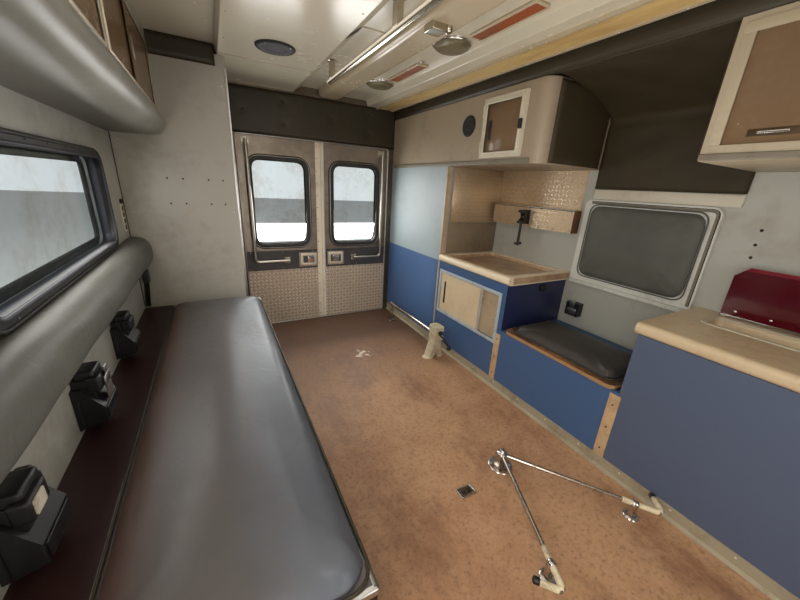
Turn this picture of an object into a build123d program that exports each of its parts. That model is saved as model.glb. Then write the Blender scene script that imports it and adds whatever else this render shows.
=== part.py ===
from build123d import *
import os

os.makedirs("parts", exist_ok=True)

# The patient compartment of an ambulance, in millimetres. X runs from the curb side to the street side, Y
# from the cab to the rear doors, and Z up from the lower edge of the skirts. A height is counted from the
# floor deck, except where its name ends in _Z.

# Whole body
BODY_L = 3960.0
BODY_W = 2440.0
HEADROOM = 1785.0
FLOOR_Z = 400.0
SIDE_WALL = 48.0
END_WALL = 50.0
DECK_T = 40.0
CEILING_T = 20.0
ROOF_EDGE = 25.0
ROOF_CROWN = 70.0
CORNER_R = 38.0
END_SKIRT_Z = 180.0

# Fits and sheets
LEAF_GAP = 5.0
LIP = 12.0
LIP_T = 12.0
SEAL = 2.0
SEAT = 0.3
SHEET = 4.0
PANEL = 18.0
BARREL_R = 4.0
HINGE_LEAF_W = 26.0

# Underframe
RAIL_X = 432.0
RAIL_W = 60.0
RAIL_H = 100.0
RAIL_T = 8.0
MOUNT_HOLE_R = 9.0
MOUNT_SPAN = 1500.0
CROSS_W = 50.0
CROSS_H = 75.0
CROSS_END = 210.0
CROSS_COUNT = 9
WHEEL_Y = 420.0
ARCH_HALF = 440.0
ARCH_H = 350.0
ARCH_CORNER = 130.0
HOUSING_D = 470.0
STEP_DEPTH = 290.0
STEP_DROP = 230.0

# Rear doors
REAR_OPEN_W = 1172.0
REAR_OPEN_X = 3.0
REAR_OPEN_H = 1437.0
MEET_X = 33.0
MEET_GAP = 8.0
MEET_STRIP_W = 60.0
MEET_STRIP_T = 4.0
REAR_GLASS_X = 303.0
REAR_GLASS_W = 405.0
REAR_GLASS_H = 633.0
REAR_GLASS_LOW = 655.0
REAR_GLASS_R = 80.0
GLASS_T = 6.0
BAND_LOW = 455.0
BAND_H = 155.0
BAND_T = 6.0
GRAB_R = 11.0
GRAB_OFF = 45.0
GRAB_INSET = 62.0
GRAB_TOP = 862.0
GRAB_REACH = 240.0
GRAB_BEND_R = 30.0
GRAB_POST_W = 16.0
GRAB_FLANGE_W = 46.0
GRAB_FLANGE_T = 6.0
LATCH_W = 150.0
LATCH_H = 118.0
LATCH_T = 14.0

# Side entry door and the window behind it
ENTRY_AFT = 980.0
ENTRY_W = 780.0
ENTRY_TOP = 1660.0
ENTRY_GLASS_W = 480.0
WINDOW_LOW = 846.0
WINDOW_H = 355.0
WINDOW_R = 60.0
WINDOW_FAR = 843.0
WINDOW_L = 1040.0
WINDOW_RIM = 26.0
WINDOW_RIM_T = 14.0
WINDOW_LAP = 10.0

# Outside hatches
HATCH_LOW = 40.0
CURB_HATCH_END = 70.0
CURB_HATCH_L = 370.0
CURB_HATCH_H = 1450.0
REAR_HATCH_END = 70.0
REAR_HATCH_L = 670.0
REAR_HATCH_H = 1200.0
FRONT_HATCH_END = 80.0
FRONT_HATCH_L = 700.0
FRONT_HATCH_H = 560.0

# Front bulkhead
PASS_W = 600.0
PASS_LOW = 60.0
PASS_H = 1440.0
PASS_R = 60.0
PASS_FLANGE_W = 50.0
PASS_FLANGE_T = 25.0

# Ceiling, drawn across the body
SOFFIT_CURB_X = -673.0
SOFFIT_INNER_X = -180.0
SOFFIT_STEP_X = -116.0
SOFFIT_H = 1740.0
FLAT_X = 175.0
FLAT_H = 1767.0
BOX_X = 395.0
BOX_EDGE_X = 379.0
BOX_H = 1728.0
CEILING_FILLET = 12.0
KEEL_W = 170.0
KEEL_DROP = 51.0
KEEL_R = 34.0
LENS_OUT = 105.0
LENS_W = 118.0
LENS_T = 6.0
TRIM_W = 14.0
TRIM_T = 12.0
RAIL_TUBE_X = -98.0
RAIL_TUBE_H = 1690.0
RAIL_TUBE_R = 12.5
RAIL_TUBE_FRONT = -1150.0
RAIL_TUBE_REAR = 1335.0
RAIL_BRACKETS = 4
RAIL_BRACKET_L = 38.0
RAIL_BRACKET_INSET = 40.0
DOME_X = 266.0
DOME_R = 78.0
DOME_T = 22.0
DOME_TAPER = 25.0
STRIP_LAMP_X = 298.0
STRIP_LAMP_W = 64.0
STRIP_LAMP_T = 10.0
STRIP_LAMP_L = 345.0
LAMP_PITCH = 770.0
LAMP_ROWS = 4
FIRST_DOME_Y = 1424.0
FIRST_STRIP_Y = 954.0

# Vinyl padding above the doors and cabinets
VALANCE_T = 16.0
HEADER_T = 14.0
UPPER_TOP = 1660.0

# Curb side inside
CLOSET_DEPTH = 505.0
CLOSET_SIDE = 44.0
BENCH_W = 612.0
BENCH_L = 1872.0
BENCH_TOP = 392.0
BOARD_T = 18.0
LEDGE_W = 134.0
BENCH_PAD_T = 65.0
BENCH_PAD_END = 52.0
BENCH_PAD_R = 60.0
BOLSTER_LOW = 660.0
BOLSTER_H = 160.0
BOLSTER_T = 92.0
BOLSTER_R = 44.0
BELT_YS = (-95.0, 345.0, 800.0)
BELT_W = 120.0
BELT_D = 68.0
BELT_H = 130.0
BELT_LIFT = 18.0
OVERHEAD_L = 1925.0
OVERHEAD_D = 212.0
OVERHEAD_FLOOR = 1395.0
OVERHEAD_OPEN_LOW = 1450.0
OVERHEAD_OPEN_TOP = 1718.0
OVERHEAD_WALL_H = 1324.0
NOSE_OUT = 30.0
NOSE_H = 1382.0
NOSE_TOP = 1440.0

# Street side inside
CABINET_SIDE = 51.0
LINER_T = 32.0
LOCKER_L = 817.0
LOCKER_H = 1290.0
REAR_COUNTER_L = 670.0
SEAT_BAY_L = 683.0
COUNTER_H = 702.0
TOP_T = 48.0
TOP_OVER = 12.0
TRAY_RIM = 42.0
TRAY_DEEP = 22.0
TRAY_R = 30.0
TOP_NOSE_R = 20.0
TRAY_DRAFT = 20.0
COUNTER_OPEN_LOW = 300.0
COUNTER_OPEN_H = 280.0
COUNTER_OPEN_NEAR = 50.0
COUNTER_OPEN_L = 580.0
KICK_H = 57.0
KICK_T = 14.0
SEAT_BOX_H = 380.0
SEAT_LEDGE_W = 110.0
SEAT_LID_SIDE = 14.0
SEAT_LID_OVER = 8.0
SEAT_LID_R = 40.0
SEAT_PAD_T = 62.0
BACK_LOW = 680.0
BACK_H = 455.0
BACK_W = 620.0
BACK_T = 16.0
BACK_R = 36.0
BACK_PAD_T = 40.0
BACK_PAD_SIDE = 70.0
BACK_PAD_RIM = 20.0
BACK_STORE_RIM = 60.0
BACK_REAR = 30.0
BACK_PIN_DROP = 2.0
BACK_RAIL_H = 22.0
UPPER_REAR_L = 1545.0
UPPER_REAR_LOW = 1290.0
UPPER_ROUND_R = 60.0
SMALL_DOOR_NEAR = 118.0
SMALL_DOOR_W = 300.0
SMALL_DOOR_LOW = 1325.0
SMALL_DOOR_H = 300.0
SMALL_DOOR_T = 16.0
SMALL_FRAME_W = 30.0
ALCOVE_L = 639.0
UPPER_FRONT_LOW = 1276.0
FRONT_OPEN_NEAR = 43.0
FRONT_OPEN_L = 1033.0
FRONT_OPEN_LOW = 1320.0
FRONT_OPEN_H = 295.0
ALCOVE_PAD_T = 24.0
ALCOVE_BACK_LOW = 1190.0
ALCOVE_BACK_TOP = 1560.0
BASIN_NEAR = 87.0
BASIN_L = 573.0
BASIN_BACK = 169.7
BASIN_W = 160.0
BASIN_DEEP = 40.0
RED_LID_BACK = 54.7
RED_LID_NEAR = 82.0
RED_LID_L = 405.0
RED_LID_H = 208.0
RED_LID_T = 6.0
RED_BARREL_R = 6.0
PLATE_T = 3.0
NICHE_BOX_D = 65.0
NICHE_BOX_LOW = 935.0
NICHE_BOX_H = 132.0
NICHE_BOX_L = 650.0
NICHE_BOX_REAR = 24.0
NICHE_PLATE_LOW = 925.0
PANE_T = 4.0
PANE_TRACK = 2.0
PANE_SPLIT = 5.5

# Cot fittings on the floor
COT_BAR_OUT = 100.0
COT_BAR_H = 160.0
COT_BAR_END = 287.0
COT_BAR_L = 670.0
COT_TUBE_R = 13.0
COT_POST_AHEAD = 60.0
COT_POST_IN = 23.0
COT_POST_H = 240.0
COT_POST_W = 40.0
COT_FOOT_W = 100.0
COT_FOOT_ARCH = 50.0
COT_SHOE_T = 6.0
HOOK_BLOCK = (235.0, -45.0)
HOOK_ENDS = (12.0, 571.0)
HOOK_FRONT = -522.0
HOOK_H = 60.0
HOOK_TUBE_R = 8.0
HOOK_HORN = (50.0, 62.0)
HOOK_BEND = 12.0
HOOK_FOOT_AT = 0.85
CATCH_X = 8.0
CATCH_Y = -89.0
CATCH_W = 70.0
CATCH_L = 44.0

# Values that follow from the ones above
SIDE = BODY_W / 2
END = BODY_L / 2
SIDE_IN = SIDE - SIDE_WALL
END_IN = END - END_WALL
ROOF_H = HEADROOM + CEILING_T
REAR_OPEN = (REAR_OPEN_X - REAR_OPEN_W / 2, REAR_OPEN_X + REAR_OPEN_W / 2)
AISLE_X = REAR_OPEN[1] + CABINET_SIDE
CROSS_PITCH = 2 * (END_IN - CROSS_END) / (CROSS_COUNT - 1)
LINER_X = SIDE_IN - LINER_T
BACK_X = LINER_X - SEAT
LOCKER_Y = END_IN - LOCKER_L
COUNTER_Y = LOCKER_Y - REAR_COUNTER_L
FRONT_COUNTER_Y = COUNTER_Y - SEAT_BAY_L
UPPER_REAR_Y = END_IN - UPPER_REAR_L
UPPER_FRONT_Y = UPPER_REAR_Y - ALCOVE_L
CLOSET_Y = END_IN - CLOSET_DEPTH
CLOSET_X = REAR_OPEN[0] - CLOSET_SIDE
BENCH_X = -SIDE_IN + BENCH_W
BENCH_Y = CLOSET_Y - BENCH_L
LEDGE_X = -SIDE_IN + LEDGE_W
OVERHEAD_X = -SIDE_IN + OVERHEAD_D
OVERHEAD_Y = CLOSET_Y - OVERHEAD_L
BASE_H = COUNTER_H - TOP_T
ENTRY_Y = -END_IN + ENTRY_AFT
ENTRY = (ENTRY_Y - ENTRY_W / 2, ENTRY_Y + ENTRY_W / 2)
WINDOW = (END_IN - WINDOW_FAR - WINDOW_L, END_IN - WINDOW_FAR)
CURB_HATCH = (END_IN - CURB_HATCH_END - CURB_HATCH_L, END_IN - CURB_HATCH_END)
REAR_HATCH = (END_IN - REAR_HATCH_END - REAR_HATCH_L, END_IN - REAR_HATCH_END)
FRONT_HATCH = (-END_IN + FRONT_HATCH_END, -END_IN + FRONT_HATCH_END + FRONT_HATCH_L)
HATCH_LEAF_T = SIDE_WALL - LIP_T - SEAL
REAR_LEAF_T = END_WALL - LIP_T - SEAL
LENS_X = AISLE_X - LENS_OUT
BASIN_X = BACK_X - BASIN_BACK
RED_LID_X = BACK_X - RED_LID_BACK
COT_BAR_X = AISLE_X - COT_BAR_OUT
COT_BAR_Y = (END_IN - COT_BAR_END - COT_BAR_L, END_IN - COT_BAR_END)
COT_POST_X = COT_BAR_X - COT_POST_IN
COT_POST_Y = COT_BAR_Y[0] - COT_POST_AHEAD
REARWARD = (0, 1, 0)
STREETWARD = (1, 0, 0)


# Planes and small makers
def side_plane(x):
    """The upright plane at x: local x is Y, local y is the height, and it faces the street side."""
    return Plane(origin=(x, 0, FLOOR_Z), x_dir=(0, 1, 0), z_dir=(1, 0, 0))


def end_plane(y):
    """The upright plane at y: local x is X and local y is the height. Its sketches are extruded REARWARD."""
    return Plane(origin=(0, y, FLOOR_Z), x_dir=(1, 0, 0), z_dir=(0, -1, 0))


def level(h):
    """The flat plane at a height above the floor."""
    return Plane.XY.offset(FLOOR_Z + h)


def block(x, y, h, mode=Mode.ADD):
    """A block between the low and high values of X, Y and height, added to or cut from the open part."""
    middle = ((x[0] + x[1]) / 2, (y[0] + y[1]) / 2, FLOOR_Z + (h[0] + h[1]) / 2)
    with Locations(middle):
        Box(x[1] - x[0], y[1] - y[0], h[1] - h[0], mode=mode)


def span(u, v, radius=0.0, mode=Mode.ADD):
    """A rectangle between the low and high values of both directions, in the open sketch."""
    with Locations(((u[0] + u[1]) / 2, (v[0] + v[1]) / 2)):
        if radius:
            RectangleRounded(u[1] - u[0], v[1] - v[0], radius, mode=mode)
        else:
            Rectangle(u[1] - u[0], v[1] - v[0], mode=mode)


def grown(pair, by):
    """The same stretch, longer by so much at both ends."""
    return (pair[0] - by, pair[1] + by)


def doorway(face, u, v, wall, into):
    """Cuts a doorway through the wall, with a rebate outside that a leaf closes against its inner lip."""
    with BuildSketch(face) as clear_opening:
        span(u, v)
    extrude(clear_opening.sketch, amount=wall, dir=into, mode=Mode.SUBTRACT)
    with BuildSketch(face) as rebate:
        span(grown(u, LIP), grown(v, LIP))
    extrude(rebate.sketch, amount=wall - LIP_T, dir=into, mode=Mode.SUBTRACT)


def side_leaf(side, u, v, hinge):
    """A leaf in a side wall, with its piano hinge along the edge at local x = hinge."""
    outer = side * SIDE
    inner = side * (SIDE - HATCH_LEAF_T)
    reach = LIP - LEAF_GAP
    block(sorted((outer, inner)), grown(u, reach), grown(v, reach))
    toward = 1 if hinge < (u[0] + u[1]) / 2 else -1
    pin_x = side * (SIDE + BARREL_R + SEAT)
    barrel(pin_x, hinge, v)
    leaf_end = hinge + toward * HINGE_LEAF_W
    block(sorted((outer, pin_x)), sorted((hinge, leaf_end)), v)


def barrel(x, y, v):
    """An upright hinge barrel over the heights v."""
    with BuildSketch(level(v[0])) as ring:
        with Locations((x, y)):
            Circle(BARREL_R)
    extrude(ring.sketch, amount=v[1] - v[0])


def rod(points, radius, bend=0.0):
    """A round rod along its points; its corners are bent to a radius, or mitred where there is none."""
    with BuildLine(Plane.XY.offset(FLOOR_Z)) as route:
        if bend:
            FilletPolyline(*points, radius=bend)
        else:
            Polyline(*points)
    path = route.wires()[0]
    with BuildSketch(Plane(origin=path @ 0, z_dir=path % 0)) as section:
        Circle(radius)
    sweep(section.sketch, path=path, transition=Transition.RIGHT)


def finish(part, name):
    """Labels a finished piece and writes its file."""
    part.label = name
    export_step(part, "parts/" + name + ".step")


# Underframe: two channel rails at the chassis spacing, with the holes of the body mounts in their lower
# flanges, and cross members laid over them, cut short beside the wheel housings and the step well
RAIL_LOW = -DECK_T - CROSS_H - SEAT - RAIL_H
with BuildPart() as underframe:
    for side in (-1, 1):
        with BuildSketch(end_plane(-END_IN + SEAT)):
            with Locations((side * RAIL_X, RAIL_LOW + RAIL_H / 2)):
                Rectangle(RAIL_W, RAIL_H)
            with Locations((side * (RAIL_X - RAIL_T), RAIL_LOW + RAIL_H / 2)):
                Rectangle(RAIL_W, RAIL_H - 2 * RAIL_T, mode=Mode.SUBTRACT)
        extrude(amount=2 * (END_IN - SEAT), dir=REARWARD)
    with Locations(Plane.XY.offset(FLOOR_Z + RAIL_LOW)):
        with GridLocations(2 * RAIL_X, MOUNT_SPAN, 2, 2):
            Cylinder(MOUNT_HOLE_R, 4 * RAIL_T, mode=Mode.SUBTRACT)
    for row in range(CROSS_COUNT):
        row_y = -END_IN + CROSS_END + row * CROSS_PITCH
        by_wheel = abs(row_y - WHEEL_Y) < ARCH_HALF + SHEET + CROSS_W
        by_step = abs(row_y - ENTRY_Y) < ENTRY_W / 2 + SHEET + CROSS_W
        street_end = SIDE_IN - HOUSING_D - 2 * SHEET if by_wheel else SIDE_IN - SEAT
        curb_end = SIDE_IN - STEP_DEPTH - 2 * SHEET if by_step else street_end
        cross_y = (row_y - CROSS_W / 2, row_y + CROSS_W / 2)
        block((-curb_end, street_end), cross_y, (-DECK_T - CROSS_H, -DECK_T))
finish(underframe.part, "underframe")

# Floor deck, with the step well let into it at the side entry door
with BuildPart() as floor_deck:
    block((-SIDE_IN + SEAT, SIDE_IN - SEAT), (-END_IN + SEAT, END_IN - SEAT), (-DECK_T, 0))
    well = (-SIDE_IN, -SIDE_IN + STEP_DEPTH + SHEET)
    block(well, grown(ENTRY, SHEET), (-DECK_T, 0), mode=Mode.SUBTRACT)
    block((-SIDE_IN + SEAT, well[1]), grown(ENTRY, SHEET), (-STEP_DROP - SHEET, 0))
    block((well[0] - SHEET, well[1] - SHEET), ENTRY, (-STEP_DROP, SHEET), mode=Mode.SUBTRACT)
finish(floor_deck.part, "floor_deck")


# Wheel housings: a folded sheet over each arch, closed at its inner end
def arch_points(extra):
    """The arch's outline, wider by extra: straight sides with cut corners."""
    half = ARCH_HALF + extra
    top = -FLOOR_Z + ARCH_H + extra
    corner = ARCH_CORNER
    return [
        (WHEEL_Y - half, -FLOOR_Z),
        (WHEEL_Y - half, top - corner),
        (WHEEL_Y - half + corner, top),
        (WHEEL_Y + half - corner, top),
        (WHEEL_Y + half, top - corner),
        (WHEEL_Y + half, -FLOOR_Z),
    ]


def arch_face(extra, mode=Mode.ADD):
    """The arch as a face in the open sketch."""
    with BuildLine() as outline:
        Polyline(*arch_points(extra), close=True)
    make_face(outline.edges(), mode=mode)


HOUSING_CLEAR = 20.0
with BuildPart() as wheel_housings:
    for side in (-1, 1):
        with BuildSketch(side_plane(side * (SIDE_IN - SEAT))):
            arch_face(SHEET)
            arch_face(0, mode=Mode.SUBTRACT)
            span((WHEEL_Y - 2 * ARCH_HALF, WHEEL_Y + 2 * ARCH_HALF), (-FLOOR_Z, -FLOOR_Z + HOUSING_CLEAR),
                 mode=Mode.SUBTRACT)
        extrude(amount=HOUSING_D - SEAT, dir=(-side, 0, 0))
        with BuildSketch(side_plane(side * (SIDE_IN - HOUSING_D))):
            arch_face(SHEET)
            span((WHEEL_Y - 2 * ARCH_HALF, WHEEL_Y + 2 * ARCH_HALF), (-FLOOR_Z, -FLOOR_Z + HOUSING_CLEAR),
                 mode=Mode.SUBTRACT)
        extrude(amount=SHEET, dir=(side, 0, 0))
finish(wheel_housings.part, "wheel_housings")


# Side walls: full-thickness panels with skirts, wheel arches and every opening
def side_wall(side):
    """The plain side panel with its wheel arch, from the roof down to the skirt's edge."""
    with BuildSketch(side_plane(side * SIDE)) as panel:
        span((-END_IN + SEAT, END_IN - SEAT), (-FLOOR_Z, ROOF_H - SEAT))
        arch_face(0, mode=Mode.SUBTRACT)
    extrude(panel.sketch, amount=SIDE_WALL, dir=(-side, 0, 0))


with BuildPart() as curb_wall:
    side_wall(-1)
    doorway(side_plane(-SIDE), ENTRY, (-STEP_DROP, ENTRY_TOP), SIDE_WALL, STREETWARD)
    doorway(side_plane(-SIDE), CURB_HATCH, (HATCH_LOW, HATCH_LOW + CURB_HATCH_H), SIDE_WALL, STREETWARD)
    with BuildSketch(side_plane(-SIDE)):
        span(WINDOW, (WINDOW_LOW, WINDOW_LOW + WINDOW_H), WINDOW_R)
    extrude(amount=SIDE_WALL, mode=Mode.SUBTRACT)
finish(curb_wall.part, "curb_wall")

with BuildPart() as street_wall:
    side_wall(1)
    doorway(side_plane(SIDE), REAR_HATCH, (HATCH_LOW, HATCH_LOW + REAR_HATCH_H), SIDE_WALL, (-1, 0, 0))
    doorway(side_plane(SIDE), FRONT_HATCH, (HATCH_LOW, HATCH_LOW + FRONT_HATCH_H), SIDE_WALL, (-1, 0, 0))
finish(street_wall.part, "street_wall")

# Front bulkhead, with the rounded walk-through to the cab and the flange that the cab's seal fits round it
PASS_X = (-PASS_W / 2, PASS_W / 2)
PASS_V = (PASS_LOW, PASS_LOW + PASS_H)
with BuildPart() as front_bulkhead:
    with BuildSketch(end_plane(-END)):
        span((-SIDE, SIDE), (END_SKIRT_Z - FLOOR_Z, ROOF_H - SEAT))
    extrude(amount=END_WALL, dir=REARWARD)
    fillet(edges().filter_by(Axis.Z).group_by(Axis.Y)[0], CORNER_R)
    with BuildSketch(end_plane(-END - PASS_FLANGE_T)):
        span(grown(PASS_X, PASS_FLANGE_W), grown(PASS_V, PASS_FLANGE_W), PASS_R + PASS_FLANGE_W)
    extrude(amount=PASS_FLANGE_T, dir=REARWARD)
    with BuildSketch(end_plane(-END - PASS_FLANGE_T)):
        span(PASS_X, PASS_V, PASS_R)
    extrude(amount=PASS_FLANGE_T + END_WALL, dir=REARWARD, mode=Mode.SUBTRACT)
finish(front_bulkhead.part, "front_bulkhead")

# Rear frame round the double doors
with BuildPart() as rear_frame:
    with BuildSketch(end_plane(END_IN)):
        span((-SIDE, SIDE), (END_SKIRT_Z - FLOOR_Z, ROOF_H - SEAT))
    extrude(amount=END_WALL, dir=REARWARD)
    fillet(edges().filter_by(Axis.Z).group_by(Axis.Y)[-1], CORNER_R)
    doorway(end_plane(END), REAR_OPEN, (0, REAR_OPEN_H), END_WALL, (0, -1, 0))
finish(rear_frame.part, "rear_frame")

# Roof with a slight crown
with BuildPart() as roof:
    with BuildSketch(end_plane(-END)):
        with BuildLine():
            base = Line((-SIDE, ROOF_H), (SIDE, ROOF_H))
            edge = Line((SIDE, ROOF_H), (SIDE, ROOF_H + ROOF_EDGE))
            crown = ThreePointArc(edge @ 1, (0, ROOF_H + ROOF_CROWN), (-SIDE, ROOF_H + ROOF_EDGE))
            far_edge = Line((-SIDE, ROOF_H + ROOF_EDGE), (-SIDE, ROOF_H))
        make_face()
    extrude(amount=BODY_L, dir=REARWARD)
finish(roof.part, "roof")

# Rear doors: full-thickness leaves with a window each, hung on piano hinges at their outer edges
REAR_LEAF_H = (SEAL - LIP + SHEET, REAR_OPEN_H + LIP - LEAF_GAP)
REAR_GLASS_V = (REAR_GLASS_LOW, REAR_GLASS_LOW + REAR_GLASS_H)
REAR_PIN_Y = END + BARREL_R + SEAT
REAR_LEAF_IN = END - REAR_LEAF_T


def rear_glass_u(side):
    """The stretch of X that a rear door's window takes."""
    return (side * REAR_GLASS_X - REAR_GLASS_W / 2, side * REAR_GLASS_X + REAR_GLASS_W / 2)


def rear_leaf(side):
    """One rear door leaf with its window opening and its hinge."""
    hinge_edge = REAR_OPEN[0] - LIP + LEAF_GAP if side < 0 else REAR_OPEN[1] + LIP - LEAF_GAP
    meet_edge = MEET_X + side * MEET_GAP / 2
    with BuildSketch(end_plane(REAR_LEAF_IN)) as leaf:
        span(sorted((hinge_edge, meet_edge)), REAR_LEAF_H)
        span(rear_glass_u(side), REAR_GLASS_V, REAR_GLASS_R, mode=Mode.SUBTRACT)
    extrude(leaf.sketch, amount=REAR_LEAF_T, dir=REARWARD)
    pin_x = hinge_edge + side * LEAF_GAP / 2
    barrel(pin_x, REAR_PIN_Y, REAR_LEAF_H)
    block(sorted((pin_x, pin_x - side * HINGE_LEAF_W)), (END, REAR_PIN_Y), REAR_LEAF_H)


with BuildPart() as rear_door_curb:
    rear_leaf(-1)
    strip_x = (MEET_X - MEET_GAP / 2 - MEET_STRIP_W, MEET_X - MEET_GAP / 2)
    block(strip_x, (REAR_LEAF_IN - MEET_STRIP_T, REAR_LEAF_IN), (LEAF_GAP, REAR_OPEN_H - LEAF_GAP))
finish(rear_door_curb.part, "rear_door_curb")

with BuildPart() as rear_door_street:
    rear_leaf(1)
finish(rear_door_street.part, "rear_door_street")


def rear_glass(side):
    """The pane of one rear door, in the middle of the leaf."""
    with BuildSketch(end_plane(END - REAR_LEAF_T / 2)) as sheet:
        span(grown(rear_glass_u(side), -SEAT), grown(REAR_GLASS_V, -SEAT), REAR_GLASS_R - SEAT)
    extrude(sheet.sketch, amount=GLASS_T, dir=REARWARD)


with BuildPart() as rear_glass_curb:
    rear_glass(-1)
finish(rear_glass_curb.part, "rear_glass_curb")

with BuildPart() as rear_glass_street:
    rear_glass(1)
finish(rear_glass_street.part, "rear_glass_street")


def rear_fittings(side):
    """The dark band with its latch, and the bent grab tube that two flanged posts hold in front of it."""
    hinge_edge = REAR_OPEN[0] if side < 0 else REAR_OPEN[1]
    band_end = MEET_X - MEET_GAP - MEET_STRIP_W if side < 0 else MEET_X + MEET_GAP
    band_x = sorted((hinge_edge - side * LEAF_GAP, band_end))
    band_y = (REAR_LEAF_IN - BAND_T, REAR_LEAF_IN)
    block(band_x, band_y, (BAND_LOW, BAND_LOW + BAND_H))
    latch_mid = band_end + side * (LATCH_W / 2 + LEAF_GAP)
    latch_h = (BAND_LOW + (BAND_H - LATCH_H) / 2, BAND_LOW + (BAND_H + LATCH_H) / 2)
    block((latch_mid - LATCH_W / 2, latch_mid + LATCH_W / 2), (band_y[0] - LATCH_T, band_y[0]), latch_h)
    tube_x = hinge_edge - side * GRAB_INSET
    tube_h = BAND_LOW + BAND_H / 2
    front = REAR_LEAF_IN - GRAB_OFF
    wall_y = REAR_LEAF_IN
    low_end = tube_x - side * GRAB_REACH
    rod([(tube_x, front, tube_h + GRAB_TOP + GRAB_R), (tube_x, front, tube_h),
         (low_end - side * GRAB_R, front, tube_h)], GRAB_R, GRAB_BEND_R)
    for post_x, post_h, foot_y in ((tube_x, tube_h + GRAB_TOP, wall_y), (low_end, tube_h, wall_y - BAND_T)):
        block(grown((post_x, post_x), GRAB_POST_W / 2), (front, foot_y),
              grown((post_h, post_h), GRAB_POST_W / 2))
        block(grown((post_x, post_x), GRAB_FLANGE_W / 2), (foot_y - GRAB_FLANGE_T, foot_y),
              grown((post_h, post_h), GRAB_FLANGE_W / 2))


with BuildPart() as rear_fittings_curb:
    rear_fittings(-1)
finish(rear_fittings_curb.part, "rear_fittings_curb")

with BuildPart() as rear_fittings_street:
    rear_fittings(1)
finish(rear_fittings_street.part, "rear_fittings_street")

# Side entry door, hinged at its front edge
ENTRY_V = (-STEP_DROP, ENTRY_TOP)
ENTRY_GLASS_U = (ENTRY_Y - ENTRY_GLASS_W / 2, ENTRY_Y + ENTRY_GLASS_W / 2)
GLASS_V = (WINDOW_LOW, WINDOW_LOW + WINDOW_H)
with BuildPart() as entry_door:
    side_leaf(-1, ENTRY, ENTRY_V, ENTRY[0] - LIP + LEAF_GAP / 2)
    with BuildSketch(side_plane(-SIDE)):
        span(ENTRY_GLASS_U, GLASS_V, WINDOW_R)
    extrude(amount=SIDE_WALL, mode=Mode.SUBTRACT)
finish(entry_door.part, "entry_door")

with BuildPart() as entry_glass:
    with BuildSketch(side_plane(-SIDE + HATCH_LEAF_T / 2)):
        span(grown(ENTRY_GLASS_U, -SEAT), grown(GLASS_V, -SEAT), WINDOW_R - SEAT)
    extrude(amount=GLASS_T)
finish(entry_glass.part, "entry_glass")

# Outside hatches, each hinged at its front edge
with BuildPart() as curb_hatch:
    side_leaf(-1, CURB_HATCH, (HATCH_LOW, HATCH_LOW + CURB_HATCH_H), CURB_HATCH[0] - LIP + LEAF_GAP / 2)
finish(curb_hatch.part, "curb_hatch")

with BuildPart() as street_rear_hatch:
    side_leaf(1, REAR_HATCH, (HATCH_LOW, HATCH_LOW + REAR_HATCH_H), REAR_HATCH[0] - LIP + LEAF_GAP / 2)
finish(street_rear_hatch.part, "street_rear_hatch")

with BuildPart() as street_front_hatch:
    side_leaf(1, FRONT_HATCH, (HATCH_LOW, HATCH_LOW + FRONT_HATCH_H), FRONT_HATCH[0] - LIP + LEAF_GAP / 2)
finish(street_front_hatch.part, "street_front_hatch")

# Side window: the pane sits near the outer skin, behind a deep inner rim
with BuildPart() as window_rim:
    with BuildSketch(side_plane(-SIDE_IN)):
        span(grown(WINDOW, WINDOW_RIM), grown(GLASS_V, WINDOW_RIM), WINDOW_R + WINDOW_RIM)
        span(grown(WINDOW, -WINDOW_LAP), grown(GLASS_V, -WINDOW_LAP), WINDOW_R - WINDOW_LAP,
             mode=Mode.SUBTRACT)
    extrude(amount=WINDOW_RIM_T)
finish(window_rim.part, "window_rim")

with BuildPart() as window_glass:
    with BuildSketch(side_plane(-SIDE + 2 * GLASS_T)):
        span(grown(WINDOW, -SEAT), grown(GLASS_V, -SEAT), WINDOW_R - SEAT)
    extrude(amount=GLASS_T)
finish(window_glass.part, "window_glass")

# Ceiling: one moulded profile along the body, with the curb soffit and the street light box
with BuildPart() as ceiling_liner:
    with BuildSketch(end_plane(-END_IN + SEAT)):
        with BuildLine():
            under = FilletPolyline(
                (-SIDE_IN + SEAT, HEADROOM),
                (SOFFIT_CURB_X, HEADROOM),
                (SOFFIT_CURB_X + CEILING_FILLET, SOFFIT_H),
                (SOFFIT_INNER_X, SOFFIT_H),
                (SOFFIT_STEP_X, HEADROOM),
                (FLAT_X, HEADROOM),
                (FLAT_X + CEILING_FILLET, FLAT_H),
                (BOX_EDGE_X, FLAT_H),
                (BOX_X, BOX_H),
                (SIDE_IN - SEAT, BOX_H),
                radius=CEILING_FILLET / 2,
            )
            top = ROOF_H - SEAT
            Polyline(under @ 1, (SIDE_IN - SEAT, top), (-SIDE_IN + SEAT, top), under @ 0)
        make_face()
    extrude(amount=2 * (END_IN - SEAT), dir=REARWARD)
finish(ceiling_liner.part, "ceiling_liner")

# Trims under the ceiling: the rounded keel and the two trims beside the long lens
KEEL_X = (0.0, KEEL_W)
with BuildPart() as ceiling_trims:
    with BuildSketch(end_plane(-END_IN + SEAT)):
        span(KEEL_X, (HEADROOM - KEEL_DROP, HEADROOM + KEEL_R), KEEL_R)
        span(grown(KEEL_X, KEEL_W), (HEADROOM - SEAT, HEADROOM + 2 * KEEL_R), mode=Mode.SUBTRACT)
    extrude(amount=2 * (END_IN - SEAT) - VALANCE_T - SEAT, dir=REARWARD)
    for trim_x in (LENS_X - LENS_W / 2 - TRIM_W, LENS_X + LENS_W / 2):
        block((trim_x, trim_x + TRIM_W), (-END_IN + SEAT, END_IN - VALANCE_T - SEAT),
              (BOX_H - TRIM_T, BOX_H))
finish(ceiling_trims.part, "ceiling_trims")

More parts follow.
